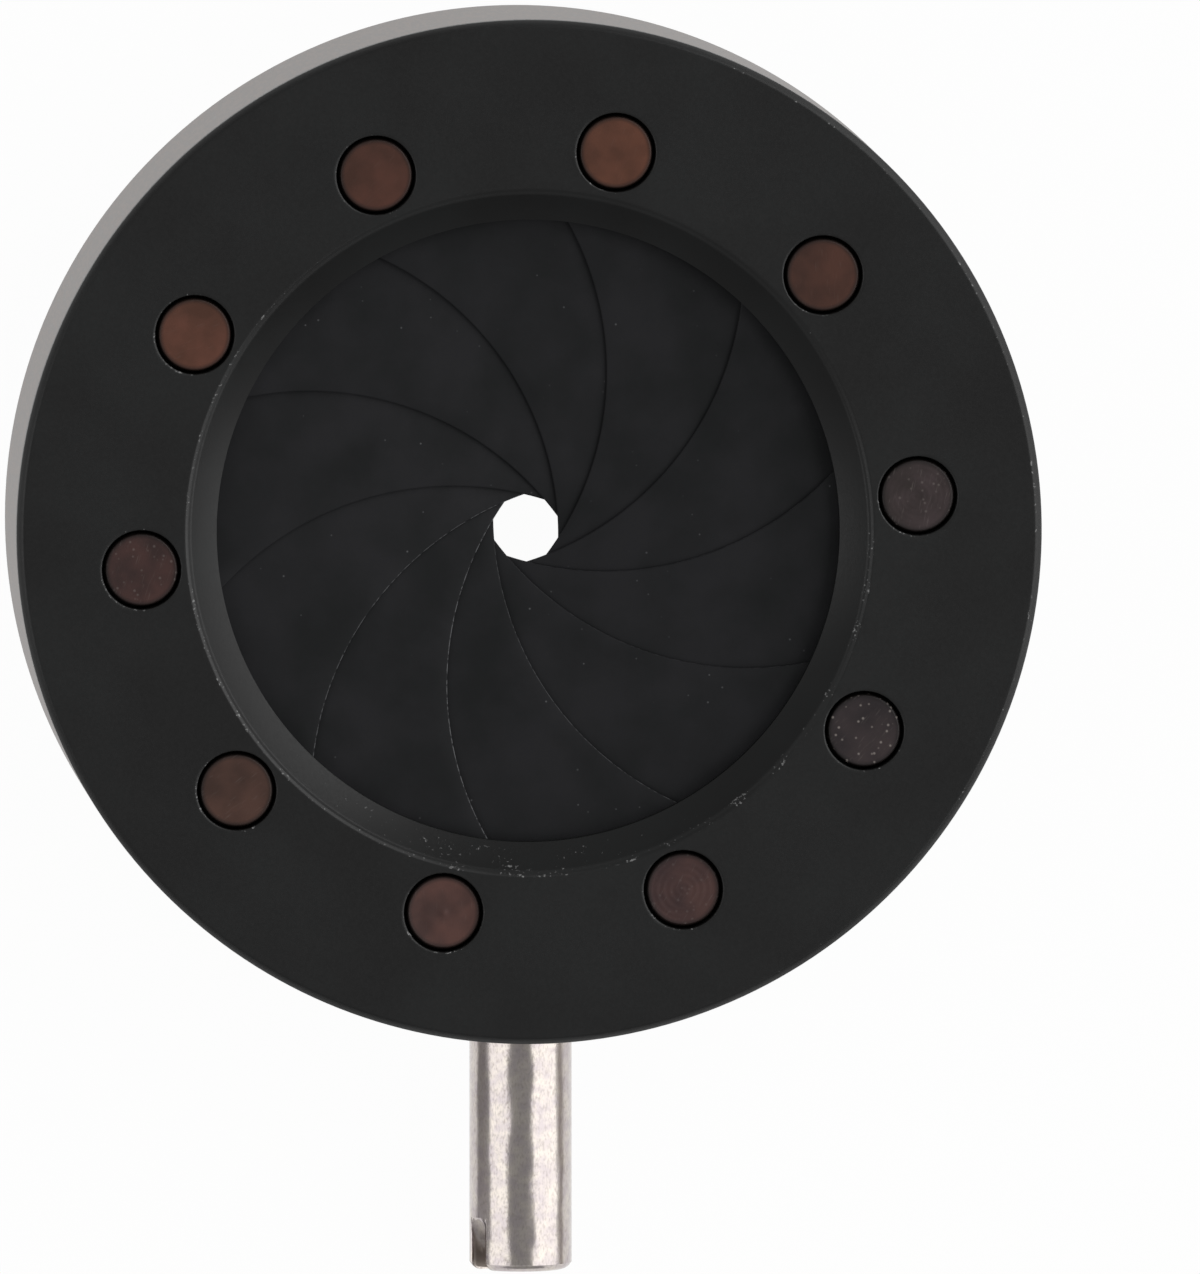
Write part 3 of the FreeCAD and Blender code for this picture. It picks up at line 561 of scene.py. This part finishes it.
def leaf_edge(inset):
    """The four stretches of an open leaf's outline, `inset` inside its edge, counter-clockwise:
    outer arc, round pivot end, inner arc, and the tail with its straight edge and round pad."""
    inner, outer = LEAF_EDGE_RADIUS + inset, LEAF_OUTER_RADIUS - inset
    pad = (LEAF_OUTER_RADIUS - LEAF_EDGE_RADIUS) / 2 - inset
    drive_pad = DRIVE_PAD_RADIUS - inset
    along = -np.radians(np.append(np.linspace(FLAT_START, LEAF_CORNER, BAND_POINTS), CORNER_ANGLES))
    last = -math.radians(DRIVE_ANGLE)
    corner = polar(inner, -math.radians(LEAF_CORNER))
    centre = polar(LEAF_OUTER_RADIUS - DRIVE_PAD_RADIUS, last)
    to_corner = corner - centre
    opening = math.acos(drive_pad / np.hypot(*to_corner))
    touch = (math.atan2(to_corner[1], to_corner[0]) - opening) % FULL_TURN - FULL_TURN
    tail = centre + polar(drive_pad, np.linspace(touch, last, DRIVE_ROUND_POINTS))
    flat_end = -math.radians(FLAT_END)
    past_corner = np.append(along[BAND_POINTS:], flat_end)
    reach = (polar(1.0, touch) @ tail[0]) / np.cos(past_corner - touch)
    straight = polar(reach, past_corner)
    pivot_round = np.array([PIVOT_CIRCLE, 0.0]) + polar(pad, np.linspace(0, np.pi, PIVOT_ROUND_POINTS))
    start = np.radians(np.linspace(-FLAT_START, 0, START_POINTS))
    band = np.append(along, flat_end)
    last_arc = polar(outer, np.linspace(last, flat_end, LAST_ARC_POINTS))
    return {
        "outer": polar(outer, band),
        "pivot": np.concatenate([polar(outer, start), pivot_round[1:-1], polar(inner, start[::-1])]),
        "inner": np.concatenate([polar(inner, along[:BAND_POINTS]), straight]),
        "tail": np.concatenate([straight[-1:], tail, last_arc[1:]]),
        "centre": centre,
    }


def leaf_sheet():
    """One open leaf: the woven band and the two flat pads on its upper and lower side, a rolled edge and
    the sheet's own side. Returned as grids with the painted highlight of their edge and the side that
    they face."""
    inside, outline = leaf_edge(LEAF_EDGE_WIDTH), leaf_edge(0.0)
    across = np.linspace(0, 1, BAND_ROWS)[None, :, None]
    share = column(PAD_SHARES)[..., None]
    grids = []

    def lifted(flat, below):
        return np.concatenate([flat, (leaf_top(flat) - below)[..., None]], axis=-1)

    for edge, below, flip in ((inside, 0.0, False), (outline, LEAF_THICKNESS, True)):
        band = edge["inner"][:, None] * (1 - across) + edge["outer"][:, None] * across
        grids.append((lifted(band, below), 0.0, flip))
        first, last = band[0], band[-1]
        pivot = np.concatenate([edge["pivot"], first[1:]])
        tail = np.concatenate([edge["tail"], last[::-1][1:]])
        for loop, centre in ((pivot, np.array([PIVOT_CIRCLE, 0.0])), (tail, edge["centre"])):
            away = loop - centre
            hole = centre + polar(RIVET_RADIUS, np.arctan2(away[:, 1], away[:, 0]))
            grids.append((lifted(hole[None] * (1 - share) + loop[None] * share, below), 0.0, flip))
            if not flip:
                walls = np.stack([lifted(hole, 0.0), lifted(hole, LEAF_THICKNESS)])
                grids.append((walls, 0.0, True))
    loops = [np.concatenate([edge["outer"][::-1], edge["pivot"], edge["inner"], edge["tail"]])
             for edge in (inside, outline)]
    middle = (loops[0] + loops[1] * 2) / 3
    # The rolled edge and the sheet's side carry the painted highlight of the edge.
    rows = np.stack([lifted(loops[0], 0.0), lifted(middle, LEAF_EDGE_DROP * LEAF_EDGE_BEND),
                     lifted(loops[1], LEAF_EDGE_DROP), lifted(loops[1], LEAF_THICKNESS)])
    grids.append((rows, column([0.0, 0.5, 1.0, 1.0]), False))
    return grids


def iris_leaf(number, grids, azimuth, rubbed_and_lit, material):
    """A leaf in its closed place: the open leaf turned back about its pivot, then on about the axis.
    Rubbed and lit is the share of the full painted highlight that its edge takes."""
    skin = Skin()
    # The edge's painted highlight is scaled by this leaf's share.
    for grid, wear, flip in grids:
        closed = turned(grid, -CLOSING, (PIVOT_CIRCLE, 0.0))
        skin.add(turned(closed, azimuth), wear=wear * rubbed_and_lit, flip=flip)
    body = f"leaf_{number}_with_studs"
    return skin.build(f"iris_leaf_{number}", body, f"leaf_{number}", "leaf_steel", material)


# Studs

STUD_BREAK = 0.05
STUD_POINTS = 72
AROUND_STUD = np.arange(STUD_POINTS) * FULL_TURN / STUD_POINTS
FACE_POINTS = 37
FACE_EDGE_POWER = 8
PIP_WIDTH = 0.07

# A pivot stud's rounded edge: how far inside its radius and how deep under its face each row lies.
PIN_EDGE = ((0.03, 0.012), (0.012, 0.035), (0.0, 0.1))

# Between these radii from a pivot stud's middle its colour goes over to nearly black: painted shade on
# its rounded edge.
PIN_SHADE_FROM = 0.6
PIN_SHADE_TO = 0.7


def stud_face(radius, top, ring_depth, ring_pitch, pip):
    """Profile of a turned end face from its middle out: cosine rings that the lathe tool left, and a
    low bell-shaped pip at the centre where the tool stopped. Both die out towards the edge, by one less
    a high power of the share of the way to it."""
    steps = np.linspace(0, 1, FACE_POINTS)
    distance = steps * (radius - STUD_BREAK)
    rings = ring_depth * (np.cos(FULL_TURN * distance / ring_pitch) - 1) / 2
    bump = pip * (np.exp(-((distance / PIP_WIDTH) ** 2)) - 1)
    return [(r, top + z) for r, z in zip(distance, (rings + bump) * (1 - steps**FACE_EDGE_POWER))]


def pivot_stud(number, centre, finish, material):
    """A stud turned from rod: its ringed front face, rounded edge, shank, and the neck in the leaf."""
    skin = Skin()
    top = PIN_HIGH[2]
    profile = stud_face(PIN_RADIUS, top, finish["depth"], finish["pitch"], finish["pip"])
    profile += [(PIN_RADIUS - inside, top - down) for inside, down in PIN_EDGE]
    profile += [(PIN_RADIUS, LEAF_TOP), (RIVET_RADIUS, LEAF_TOP)]
    profile += [(RIVET_RADIUS, PIN_LOW[2]), (0.0, PIN_LOW[2])]
    skin.add(revolved(profile, AROUND_STUD, centre), closed=True)
    body = f"leaf_{number}_with_studs"
    return skin.build(f"pivot_pin_{number}", body, f"pivot_stud_{number}", "oxidised_pin", material)


def drive_stud(number, material):
    """A plain stud under the leaf's tail, with its neck in the leaf."""
    skin = Skin()
    low, high = node_box(f"drive_stud_{number}")
    centre = (low + high)[:2] / 2
    radius = (high[0] - low[0]) / 2
    under_leaf = high[2] - LEAF_THICKNESS
    profile = (
        (0.0, high[2]), (RIVET_RADIUS, high[2]), (RIVET_RADIUS, under_leaf), (radius, under_leaf),
        (radius, low[2] + STUD_BREAK), (radius - STUD_BREAK, low[2]), (0.0, low[2]),
    )
    skin.add(revolved(profile, AROUND_STUD[::2], centre), closed=True)
    body = f"leaf_{number}_with_studs"
    return skin.build(f"drive_pin_{number}", body, f"drive_stud_{number}", "oxidised_pin", material)


# Finishes

# Sockets of a colour mix, whose names it also gives to its sockets for other kinds of data.
SHARE, FIRST, SECOND, MIXED = 0, 6, 7, 2


def to_linear(hex_colour):
    """An sRGB hex colour as a linear colour with alpha."""
    channels = [int(hex_colour[i:i + 2], 16) / 255 for i in (0, 2, 4)]
    linear = [c / 12.92 if c <= 0.04045 else ((c + 0.055) / 1.055) ** 2.4 for c in channels]
    return (*linear, 1.0)


def connect(tree, node, inputs):
    """Gives a node's sockets the values they hold or the outputs that feed them. The inputs go by the
    socket's name or number, or in the order of the sockets."""
    named = inputs if isinstance(inputs, dict) else dict(enumerate(inputs))
    for socket, value in named.items():
        if isinstance(value, bpy.types.NodeSocket):
            tree.links.new(value, node.inputs[socket])
        else:
            node.inputs[socket].default_value = value


def add(tree, kind, inputs=(), output=0, **settings):
    """Adds a node with its settings and inputs, and returns the output that is asked for."""
    node = tree.nodes.new(f"ShaderNode{kind}")
    for name, value in settings.items():
        setattr(node, name, value)
    connect(tree, node, inputs)
    return node.outputs[output] if node.outputs else None


def new_finish(name):
    material = bpy.data.materials.new(name)
    material.use_nodes = True
    tree = material.node_tree
    return material, tree, tree.nodes["Principled BSDF"]


def pattern_size(millimetres):
    """Scale of a noise or cell pattern whose features are this wide, for coordinates in metres."""
    return 1 / (millimetres * MM)


def black_anodised():
    """Anodised aluminium, dyed black over a fine blasted turning: a deep, even satin black, a little
    cloudy, with bare metal shining as single burr specks and as thin broken lines on the edges. The
    lines are real wear with a painted highlight, brightest where the edges face the right lamp."""
    material, tree, shader = new_finish("black_anodised_aluminium")
    place = add(tree, "TexCoord", output="Object")
    wear = add(tree, "Attribute", output="Fac", attribute_name="wear")
    cloud = add(tree, "TexNoise", {"Vector": place, "Scale": pattern_size(2.2), "Detail": 3.0})
    cloudy = add(tree, "MapRange", (cloud, 0.35, 0.65))
    dye = add(tree, "Mix", {SHARE: cloudy, FIRST: to_linear("151515"), SECOND: to_linear("1b1c1c")},
              MIXED, data_type="RGBA")
    # The blasting leaves pits of 0.02 to 0.04 mm, drawn at 0.06 mm so that they show.
    grit = add(tree, "TexNoise", {"Vector": place, "Scale": pattern_size(0.06), "Detail": 2.0})
    cluster = add(tree, "TexNoise", {"Vector": place, "Scale": pattern_size(0.5)})
    held = add(tree, "MapRange", (wear, 0.0, 0.6, 0.0, 0.6))
    gathered = add(tree, "MapRange", (cluster, 0.35, 0.65, 0.7, 1.2))
    likely = add(tree, "Math", (held, gathered), operation="MULTIPLY")
    rubbed_and_lit = add(tree, "Math", (grit, 1.6, likely), operation="MULTIPLY_ADD")
    specks = add(tree, "MapRange", (rubbed_and_lit, 1.55, 1.8))
    # Painted highlight: the edge lines over real wear, brightest where an edge faces the right lamp.
    polished_and_highlit = add(tree, "MapRange", (wear, 0.6, 1.0, 0.0, 0.12))
    bare = add(tree, "Math", (specks, polished_and_highlit), operation="MAXIMUM")
    colour = add(tree, "Mix", {SHARE: bare, FIRST: dye, SECOND: to_linear("8c8c8c")},
                 MIXED, data_type="RGBA")
    rough = add(tree, "MapRange", (grit, 0.3, 0.7, 0.34, 0.44))
    bump = add(tree, "Bump", {"Height": grit, "Strength": 0.12, "Distance": 0.01 * MM})
    connect(tree, shader, {"Base Color": colour, "Roughness": rough, "Normal": bump,
                           "Specular IOR Level": 0.4})
    return material


def turned_aluminium():
    """Bare aluminium turned on a lathe and tumbled: a soft silver grey with a fine mottle drawn out
    along the axis, and faint lines around the wall that draw the light out a little."""
    material, tree, shader = new_finish("bare_turned_aluminium")
    place = add(tree, "TexCoord", output="Object")
    around = add(tree, "Mapping", {"Vector": place, "Scale": (0.05, 0.05, 1.0)})
    # The tool's lines lie 0.02 to 0.03 mm apart, drawn at 0.05 mm so that they show.
    lines = add(tree, "TexNoise", {"Vector": around, "Scale": pattern_size(0.05), "Detail": 2.0})
    upright = add(tree, "Mapping", {"Vector": place, "Scale": (1.0, 1.0, 0.15)})
    mottle = add(tree, "TexNoise", {"Vector": upright, "Scale": pattern_size(0.09), "Detail": 3.0})
    mottled = add(tree, "MapRange", (mottle, 0.38, 0.62))
    base = add(tree, "Mix", {SHARE: mottled, FIRST: to_linear("5a5451"), SECOND: to_linear("7f7773")},
               MIXED, data_type="RGBA")
    lined = add(tree, "MapRange", (lines, 0.4, 0.75, 0.0, 0.2))
    colour = add(tree, "Mix", {SHARE: lined, FIRST: base, SECOND: to_linear("605a56")},
                 MIXED, data_type="RGBA")
    rough = add(tree, "MapRange", (mottle, 0.3, 0.7, 0.36, 0.46))
    bump = add(tree, "Bump", {"Height": lines, "Strength": 0.12, "Distance": 0.004 * MM})
    connect(tree, shader, {"Base Color": colour, "Roughness": rough, "Normal": bump, "Metallic": 1.0})
    return material


def blackened_leaf():
    """Spring steel sheet, blackened chemically: near black, satin, with tiny pale scuffs, and the
    punched edge of some leaves painted bright as a highlight, broken by the grain."""
    material, tree, shader = new_finish("blackened_steel_sheet")
    place = add(tree, "TexCoord", output="Object")
    wear = add(tree, "Attribute", output="Fac", attribute_name="wear")
    cloud = add(tree, "TexNoise", {"Vector": place, "Scale": pattern_size(1.3), "Detail": 4.0})
    cloudy = add(tree, "MapRange", (cloud, 0.35, 0.65))
    black = add(tree, "Mix", {SHARE: cloudy, FIRST: to_linear("1e1f20"), SECOND: to_linear("272729")},
                MIXED, data_type="RGBA")
    # The blackening's own grain is about 0.02 mm, drawn at 0.09 mm so that it shows.
    grit = add(tree, "TexNoise", {"Vector": place, "Scale": pattern_size(0.09), "Detail": 3.0})
    broken = add(tree, "MapRange", (grit, 0.35, 0.55))
    # Painted highlight on the edges of the leaves that face the lamp, broken by the grain.
    edge = add(tree, "Math", (wear, broken), operation="MULTIPLY")
    rubbed_and_lit = add(tree, "MapRange", (edge, 0.2, 0.9))
    cells = add(tree, "TexVoronoi", {"Vector": place, "Scale": pattern_size(0.3)})
    scuff = add(tree, "MapRange", (cells, 0.08, 0.04, 0.0, 0.5))
    patches = add(tree, "TexNoise", {"Vector": place, "Scale": pattern_size(1.0)})
    chosen = add(tree, "MapRange", (patches, 0.5, 0.6))
    scuffed = add(tree, "Math", (scuff, chosen), operation="MULTIPLY")
    pale = add(tree, "Math", (rubbed_and_lit, scuffed), operation="MAXIMUM")
    colour = add(tree, "Mix", {SHARE: pale, FIRST: black, SECOND: to_linear("77787a")},
                 MIXED, data_type="RGBA")
    rough = add(tree, "MapRange", (grit, 0.3, 0.7, 0.52, 0.64))
    bump = add(tree, "Bump", {"Height": grit, "Strength": 0.15, "Distance": 0.006 * MM})
    connect(tree, shader, {"Base Color": colour, "Roughness": rough, "Normal": bump,
                           "Specular IOR Level": 0.15})
    return material


def oxidised_pin(number, centre, finish):
    """Turned steel, heated to a brown oxide: a dull brown that leans to red or purple from pin to pin,
    lighter towards one side, painted nearly black on its rounded edge as shade, with fine straight
    scratches and a few bright specks."""
    material, tree, shader = new_finish(f"oxidised_steel_pin_{number}")
    place = add(tree, "TexCoord", output="Object")
    to_middle = (-centre[0] * MM, -centre[1] * MM, 0.0)
    centred = add(tree, "Mapping", {"Vector": place, "Location": to_middle})
    spun = add(tree, "Mapping", {"Vector": centred, "Rotation": (0.0, 0.0, finish["turn"])})
    cloud = add(tree, "TexNoise", {"Vector": place, "Scale": pattern_size(0.55), "Detail": 3.0})
    cloudy = add(tree, "MapRange", (cloud, 0.32, 0.68))
    x = add(tree, "SeparateXYZ", {"Vector": spun}, "X")
    side = add(tree, "MapRange", (x, -PIN_RADIUS * MM, PIN_RADIUS * MM, -0.3, 0.4))
    lighter = add(tree, "Math", (cloudy, side), operation="ADD")
    brown = add(tree, "Mix", {SHARE: lighter, FIRST: to_linear(finish["dark"]),
                              SECOND: to_linear(finish["light"])}, MIXED, data_type="RGBA")
    plane = add(tree, "CombineXYZ", {"X": x, "Y": x.node.outputs["Y"]})
    out = add(tree, "VectorMath", (plane,), "Value", operation="LENGTH")
    # Painted shade: the rounded edge goes over to nearly black.
    edge = add(tree, "MapRange", (out, PIN_SHADE_FROM * MM, PIN_SHADE_TO * MM, 0.0, 0.95))
    edge_shaded = add(tree, "Mix", {SHARE: edge, FIRST: brown, SECOND: to_linear("14100f")},
                MIXED, data_type="RGBA")
    drawn = add(tree, "Mapping", {"Vector": spun, "Scale": (1.0, 0.12, 1.0)})
    # The scratches are under 0.02 mm wide, drawn at 0.04 mm so that they show.
    scratches = add(tree, "TexNoise", {"Vector": drawn, "Scale": pattern_size(0.04), "Detail": 2.0})
    scratch = add(tree, "MapRange", (scratches, 0.62, 0.8, 0.0, finish["scratch"]))
    cells = add(tree, "TexVoronoi", {"Vector": place, "Scale": pattern_size(0.15)})
    speck = add(tree, "MapRange", (cells, 0.22, 0.1, 0.0, finish["speck"]))
    marks = add(tree, "Math", (scratch, speck), operation="MAXIMUM")
    colour = add(tree, "Mix", {SHARE: marks, FIRST: edge_shaded, SECOND: to_linear("a39a94")},
                 MIXED, data_type="RGBA")
    rough = add(tree, "MapRange", (cloud, 0.3, 0.7, 0.42, 0.55))
    bump = add(tree, "Bump", {"Height": scratches, "Strength": 0.15, "Distance": 0.006 * MM})
    connect(tree, shader, {"Base Color": colour, "Roughness": rough, "Normal": bump, "Metallic": 0.3})
    return material


def drawn_steel():
    """Bright steel rod, drawn through a die and handled for years: it mirrors the room in long bands
    whose edges waver, with a warm fine grain of pits and short streaks along the rod. The cutter left
    the screwdriver slot rough, and the slot is painted darker inwards as shade; its wear and painted
    light attribute marks both."""
    material, tree, shader = new_finish("bright_drawn_steel")
    place = add(tree, "TexCoord", output="Object")
    along = add(tree, "Mapping", {"Vector": place, "Scale": (1.0, 0.45, 1.0)})
    # The pits are about 0.02 mm wide, drawn at 0.042 mm so that they show.
    streaks = add(tree, "TexNoise", {"Vector": along, "Scale": pattern_size(0.042), "Detail": 3.0,
                                     "Roughness": 0.6})
    grain = add(tree, "TexNoise", {"Vector": place, "Scale": pattern_size(0.25), "Detail": 3.0})
    waver = add(tree, "TexNoise", {"Vector": along, "Scale": pattern_size(0.5), "Detail": 1.0})
    inside = add(tree, "Attribute", output="Fac", attribute_name="wear")
    grained = add(tree, "MapRange", (grain, 0.35, 0.65))
    steel = add(tree, "Mix", {SHARE: grained, FIRST: to_linear("c0b7b7"), SECOND: to_linear("d0c8c0")},
                MIXED, data_type="RGBA")
    pits = add(tree, "MapRange", (streaks, 0.48, 0.72, 0.0, 0.5))
    pitted = add(tree, "Mix", {SHARE: pits, FIRST: steel, SECOND: to_linear("988d88")},
                 MIXED, data_type="RGBA")
    # Painted shade: darker deeper in the screwdriver slot.
    slot_shade = add(tree, "MapRange", (inside, 0.5, 1.0))
    colour = add(tree, "Mix", {SHARE: slot_shade, FIRST: pitted, SECOND: to_linear("9d938c")},
                 MIXED, data_type="RGBA")
    polish = add(tree, "MapRange", (streaks, 0.3, 0.7, 0.14, 0.26))
    milled = add(tree, "MapRange", (inside, 0.0, 0.5, 0.0, 0.36))
    rough = add(tree, "Math", (polish, milled), operation="ADD")
    dents = add(tree, "Bump", {"Height": waver, "Strength": 1.0, "Distance": 0.028 * MM})
    bump = add(tree, "Bump", {"Height": streaks, "Strength": 0.3, "Distance": 0.004 * MM,
                              "Normal": dents})
    connect(tree, shader, {"Base Color": colour, "Roughness": rough, "Normal": bump, "Metallic": 1.0})
    return material


def oiled_spring_steel():
    """Spring steel, blued and oiled: dark grey with a wet, slightly blue shine on its stamped face."""
    material, tree, shader = new_finish("oiled_spring_steel")
    place = add(tree, "TexCoord", output="Object")
    cloud = add(tree, "TexNoise", {"Vector": place, "Scale": pattern_size(0.6), "Detail": 4.0})
    colour = add(tree, "Mix", {SHARE: cloud, FIRST: to_linear("3c3e44"), SECOND: to_linear("5a5b60")},
                 MIXED, data_type="RGBA")
    rough = add(tree, "MapRange", (cloud, 0.3, 0.7, 0.22, 0.36))
    connect(tree, shader, {"Base Color": colour, "Roughness": rough, "Metallic": 1.0})
    return material


# Turned faces of the pivot pins: the depth and the spacing of their rings, and the height of the pip at
# their centre, in millimetres.
PLAIN_FACE = dict(depth=0.0, pitch=0.2, pip=0.0)
RINGED_FACE = dict(depth=0.002, pitch=0.11, pip=0.0)
PIPPED_FACE = dict(depth=0.003, pitch=0.3, pip=0.012)
RINGED_AND_PIPPED_FACE = dict(depth=0.004, pitch=0.13, pip=0.006)

# Each pivot pin's own finish, in the order of the leaves: the colours of its dark and light clouds, how
# strong its scratches and specks are, and by what angle its scratches and its lighter side are turned.
PIN_FINISHES = (
    dict(dark="342b2a", light="45393a", scratch=0.2, turn=0.2, speck=0.2, **RINGED_FACE),
    dict(dark="42281f", light="563428", scratch=0.06, turn=0.0, speck=0.0, **PLAIN_FACE),
    dict(dark="593627", light="6d4230", scratch=0.04, turn=0.4, speck=0.0, **PLAIN_FACE),
    dict(dark="4a2d22", light="5c372b", scratch=0.04, turn=0.8, speck=0.0, **PLAIN_FACE),
    dict(dark="573628", light="6c4233", scratch=0.06, turn=1.2, speck=0.0, **PLAIN_FACE),
    dict(dark="382725", light="4e332f", scratch=0.12, turn=0.3, speck=0.2, **PLAIN_FACE),
    dict(dark="463028", light="583c32", scratch=0.12, turn=0.9, speck=0.0, **PLAIN_FACE),
    dict(dark="4c3531", light="62423b", scratch=0.08, turn=0.0, speck=0.0, **PIPPED_FACE),
    dict(dark="402d2d", light="543a36", scratch=0.14, turn=0.5, speck=0.1, **RINGED_AND_PIPPED_FACE),
    dict(dark="2d2628", light="3c3233", scratch=0.12, turn=0.7, speck=0.6, **PLAIN_FACE),
)


# Floor, lights and camera

FLOOR_GLOW = 0.97
FLOOR_GAP = 0.03
PAPER_RINGS = (0.0, 30.0, 200.0, 900.0)
PAPER_POINTS = 96
ROOM_FILL = 0.32
LAMP_DISTANCE = 0.4
CARD_START = -10.2
CARD_END = -18.0
WHITE = (1.0, 1.0, 1.0, 1.0)


def paper_floor():
    """Matt white paper under the object. It glows for rays that see it directly, so that it shows
    white, and keeps a little of the object's shadow. From below it can be seen through."""
    material = bpy.data.materials.new("white_paper")
    material.use_nodes = True
    tree = material.node_tree
    tree.nodes.clear()
    rays = add(tree, "LightPath").node.outputs
    paper = add(tree, "BsdfDiffuse", {"Color": to_linear("f2f2f2")})
    glow = add(tree, "Emission", (WHITE, 1.0))
    mirrored = add(tree, "Math", (rays["Is Camera Ray"], rays["Is Glossy Ray"]), operation="MAXIMUM")
    seen = add(tree, "Math", (mirrored, rays["Is Transmission Ray"]), operation="MAXIMUM")
    share = add(tree, "Math", (seen, FLOOR_GLOW), operation="MULTIPLY")
    lit = add(tree, "MixShader", (share, paper, glow))
    clear = add(tree, "BsdfTransparent")
    back = add(tree, "NewGeometry", output="Backfacing")
    shown = add(tree, "MixShader", (back, lit, clear))
    add(tree, "OutputMaterial", {"Surface": shown})
    return material


def floor():
    """A round sheet just under the rear rim: rings of points about the axis."""
    skin = Skin()
    profile = [(radius, REAR - FLOOR_GAP) for radius in PAPER_RINGS]
    skin.add(revolved(profile, np.arange(PAPER_POINTS) * FULL_TURN / PAPER_POINTS), closed=True)
    mesh = bpy.data.meshes.new("paper")
    mesh.from_pydata(np.concatenate(skin.points) * MM, [], np.concatenate(skin.faces))
    mesh.materials.append(paper_floor())
    sheet = bpy.data.objects.new("paper", mesh)
    bpy.context.scene.collection.objects.link(sheet)


def softbox(name, from_zenith, to_zenith, length, shift_up, radiance):
    """A long soft lamp that faces the object and spans these angles from straight above, positive to
    the right. Its power is its radiance times pi times its area."""
    start, end = math.radians(from_zenith), math.radians(to_zenith)
    middle = (start + end) / 2
    lamp = bpy.data.lights.new(name, "AREA")
    lamp.shape = "RECTANGLE"
    lamp.size = 2 * LAMP_DISTANCE * math.tan(abs(end - start) / 2)
    lamp.size_y = length
    lamp.energy = radiance * math.pi * lamp.size * lamp.size_y
    box = bpy.data.objects.new(name, lamp)
    box.location = (LAMP_DISTANCE * math.sin(middle), shift_up, LAMP_DISTANCE * math.cos(middle))
    box.rotation_euler = (0.0, middle, 0.0)
    box.visible_camera = False
    bpy.context.scene.collection.objects.link(box)


def side_card(name, across, above, colour):
    """An upright card beside the lever, up to this many degrees above its horizon, that only mirror
    rays see. It draws the thin dark band between the lever's reflections of lamp and paper."""
    top = LEVER_AXIS + abs(across) * math.tan(math.radians(above))
    sides = ((CARD_START, REAR), (CARD_END, REAR), (CARD_END, top), (CARD_START, top))
    corners = [(across, y, z) for y, z in sides]
    mesh = bpy.data.meshes.new(name)
    mesh.from_pydata(np.array(corners) * MM, [], [(0, 1, 2, 3)])
    material, tree, shader = new_finish(name)
    connect(tree, shader, {"Base Color": to_linear(colour), "Roughness": 0.9})
    mesh.materials.append(material)
    card = bpy.data.objects.new(name, mesh)
    card.visible_camera = False
    card.visible_diffuse = False
    card.visible_shadow = False
    bpy.context.scene.collection.objects.link(card)


def room():
    """White for the camera, an even grey for everything else."""
    world = bpy.data.worlds.new("room")
    world.use_nodes = True
    tree = world.node_tree
    tree.nodes.clear()
    camera_ray = add(tree, "LightPath", output="Is Camera Ray")
    fill = add(tree, "Background", (WHITE, ROOM_FILL))
    white = add(tree, "Background", (WHITE, 1.0))
    shown = add(tree, "MixShader", (camera_ray, fill, white))
    add(tree, "OutputWorld", {"Surface": shown})
    bpy.context.scene.world = world


# The camera looks almost straight down the axis, from a little to the left and above. The face's
# middle and the scale were measured in the photograph, whose frame is 1200 by 1274 pixels.
PHOTO_WIDTH, PHOTO_HEIGHT = 1200, 1274
FACE_PIXEL = (529.9, 532.9)
PIXELS_PER_MM = 51.37
LEAN_LEFT = -0.0615
LEAN_UP = 0.0764
LENS = 1200.0
SENSOR = 36.0


def camera():
    """A long lens at the photograph's angle: its right is across Y and its back, its up across both."""
    back = Vector((LEAN_LEFT, LEAN_UP, 1.0)).normalized()
    right = Vector((0.0, 1.0, 0.0)).cross(back).normalized()
    up = back.cross(right)
    across = (PHOTO_WIDTH / 2 - FACE_PIXEL[0]) / PIXELS_PER_MM * MM
    down = (PHOTO_HEIGHT / 2 - FACE_PIXEL[1]) / PIXELS_PER_MM * MM
    target = Vector((0.0, 0.0, FRONT * MM)) + right * across - up * down
    distance = PHOTO_HEIGHT / PIXELS_PER_MM * MM * LENS / SENSOR
    data = bpy.data.cameras.new("camera")
    data.lens = LENS
    data.sensor_width = SENSOR
    data.clip_end = 5.0
    view = bpy.data.objects.new("camera", data)
    turn = Matrix((right, up, back)).transposed().to_4x4()
    view.matrix_world = Matrix.Translation(target + back * distance) @ turn
    bpy.context.scene.collection.objects.link(view)
    bpy.context.scene.camera = view


def build():
    anodised = black_anodised()
    front_plate(anodised)
    barrel_wall(turned_aluminium())
    lever_rod(drawn_steel())
    leaf_finish = blackened_leaf()
    grids = leaf_sheet()
    for number, centre, azimuth, finish in zip(LEAF_NUMBERS, PIVOTS, PIVOT_AZIMUTHS, PIN_FINISHES):
        iris_leaf(number, grids, azimuth, LEAF_EDGE_HIGHLIGHT.get(number, 0.0), leaf_finish)
        pin = oxidised_pin(number, centre, finish)
        pivot_stud(number, centre, finish, pin)
        drive_stud(number, pin)
    for node, finish in (("slotted_ring", anodised), ("snap_ring", oiled_spring_steel())):
        materials = frame["nodes"][node].data.materials
        materials.clear()
        materials.append(finish)


build()
floor()
room()
softbox("left_softbox", from_zenith=-31, to_zenith=-76, length=0.16, shift_up=-0.03, radiance=1.3)
softbox("right_softbox", from_zenith=25, to_zenith=87, length=0.75, shift_up=0.2, radiance=1.43)
side_card("left_card", across=-5.2, above=13, colour="c0bec0")
side_card("right_card", across=9.8, above=1.3, colour="d8d0cc")
camera()
bpy.context.scene.view_settings.view_transform = "Standard"
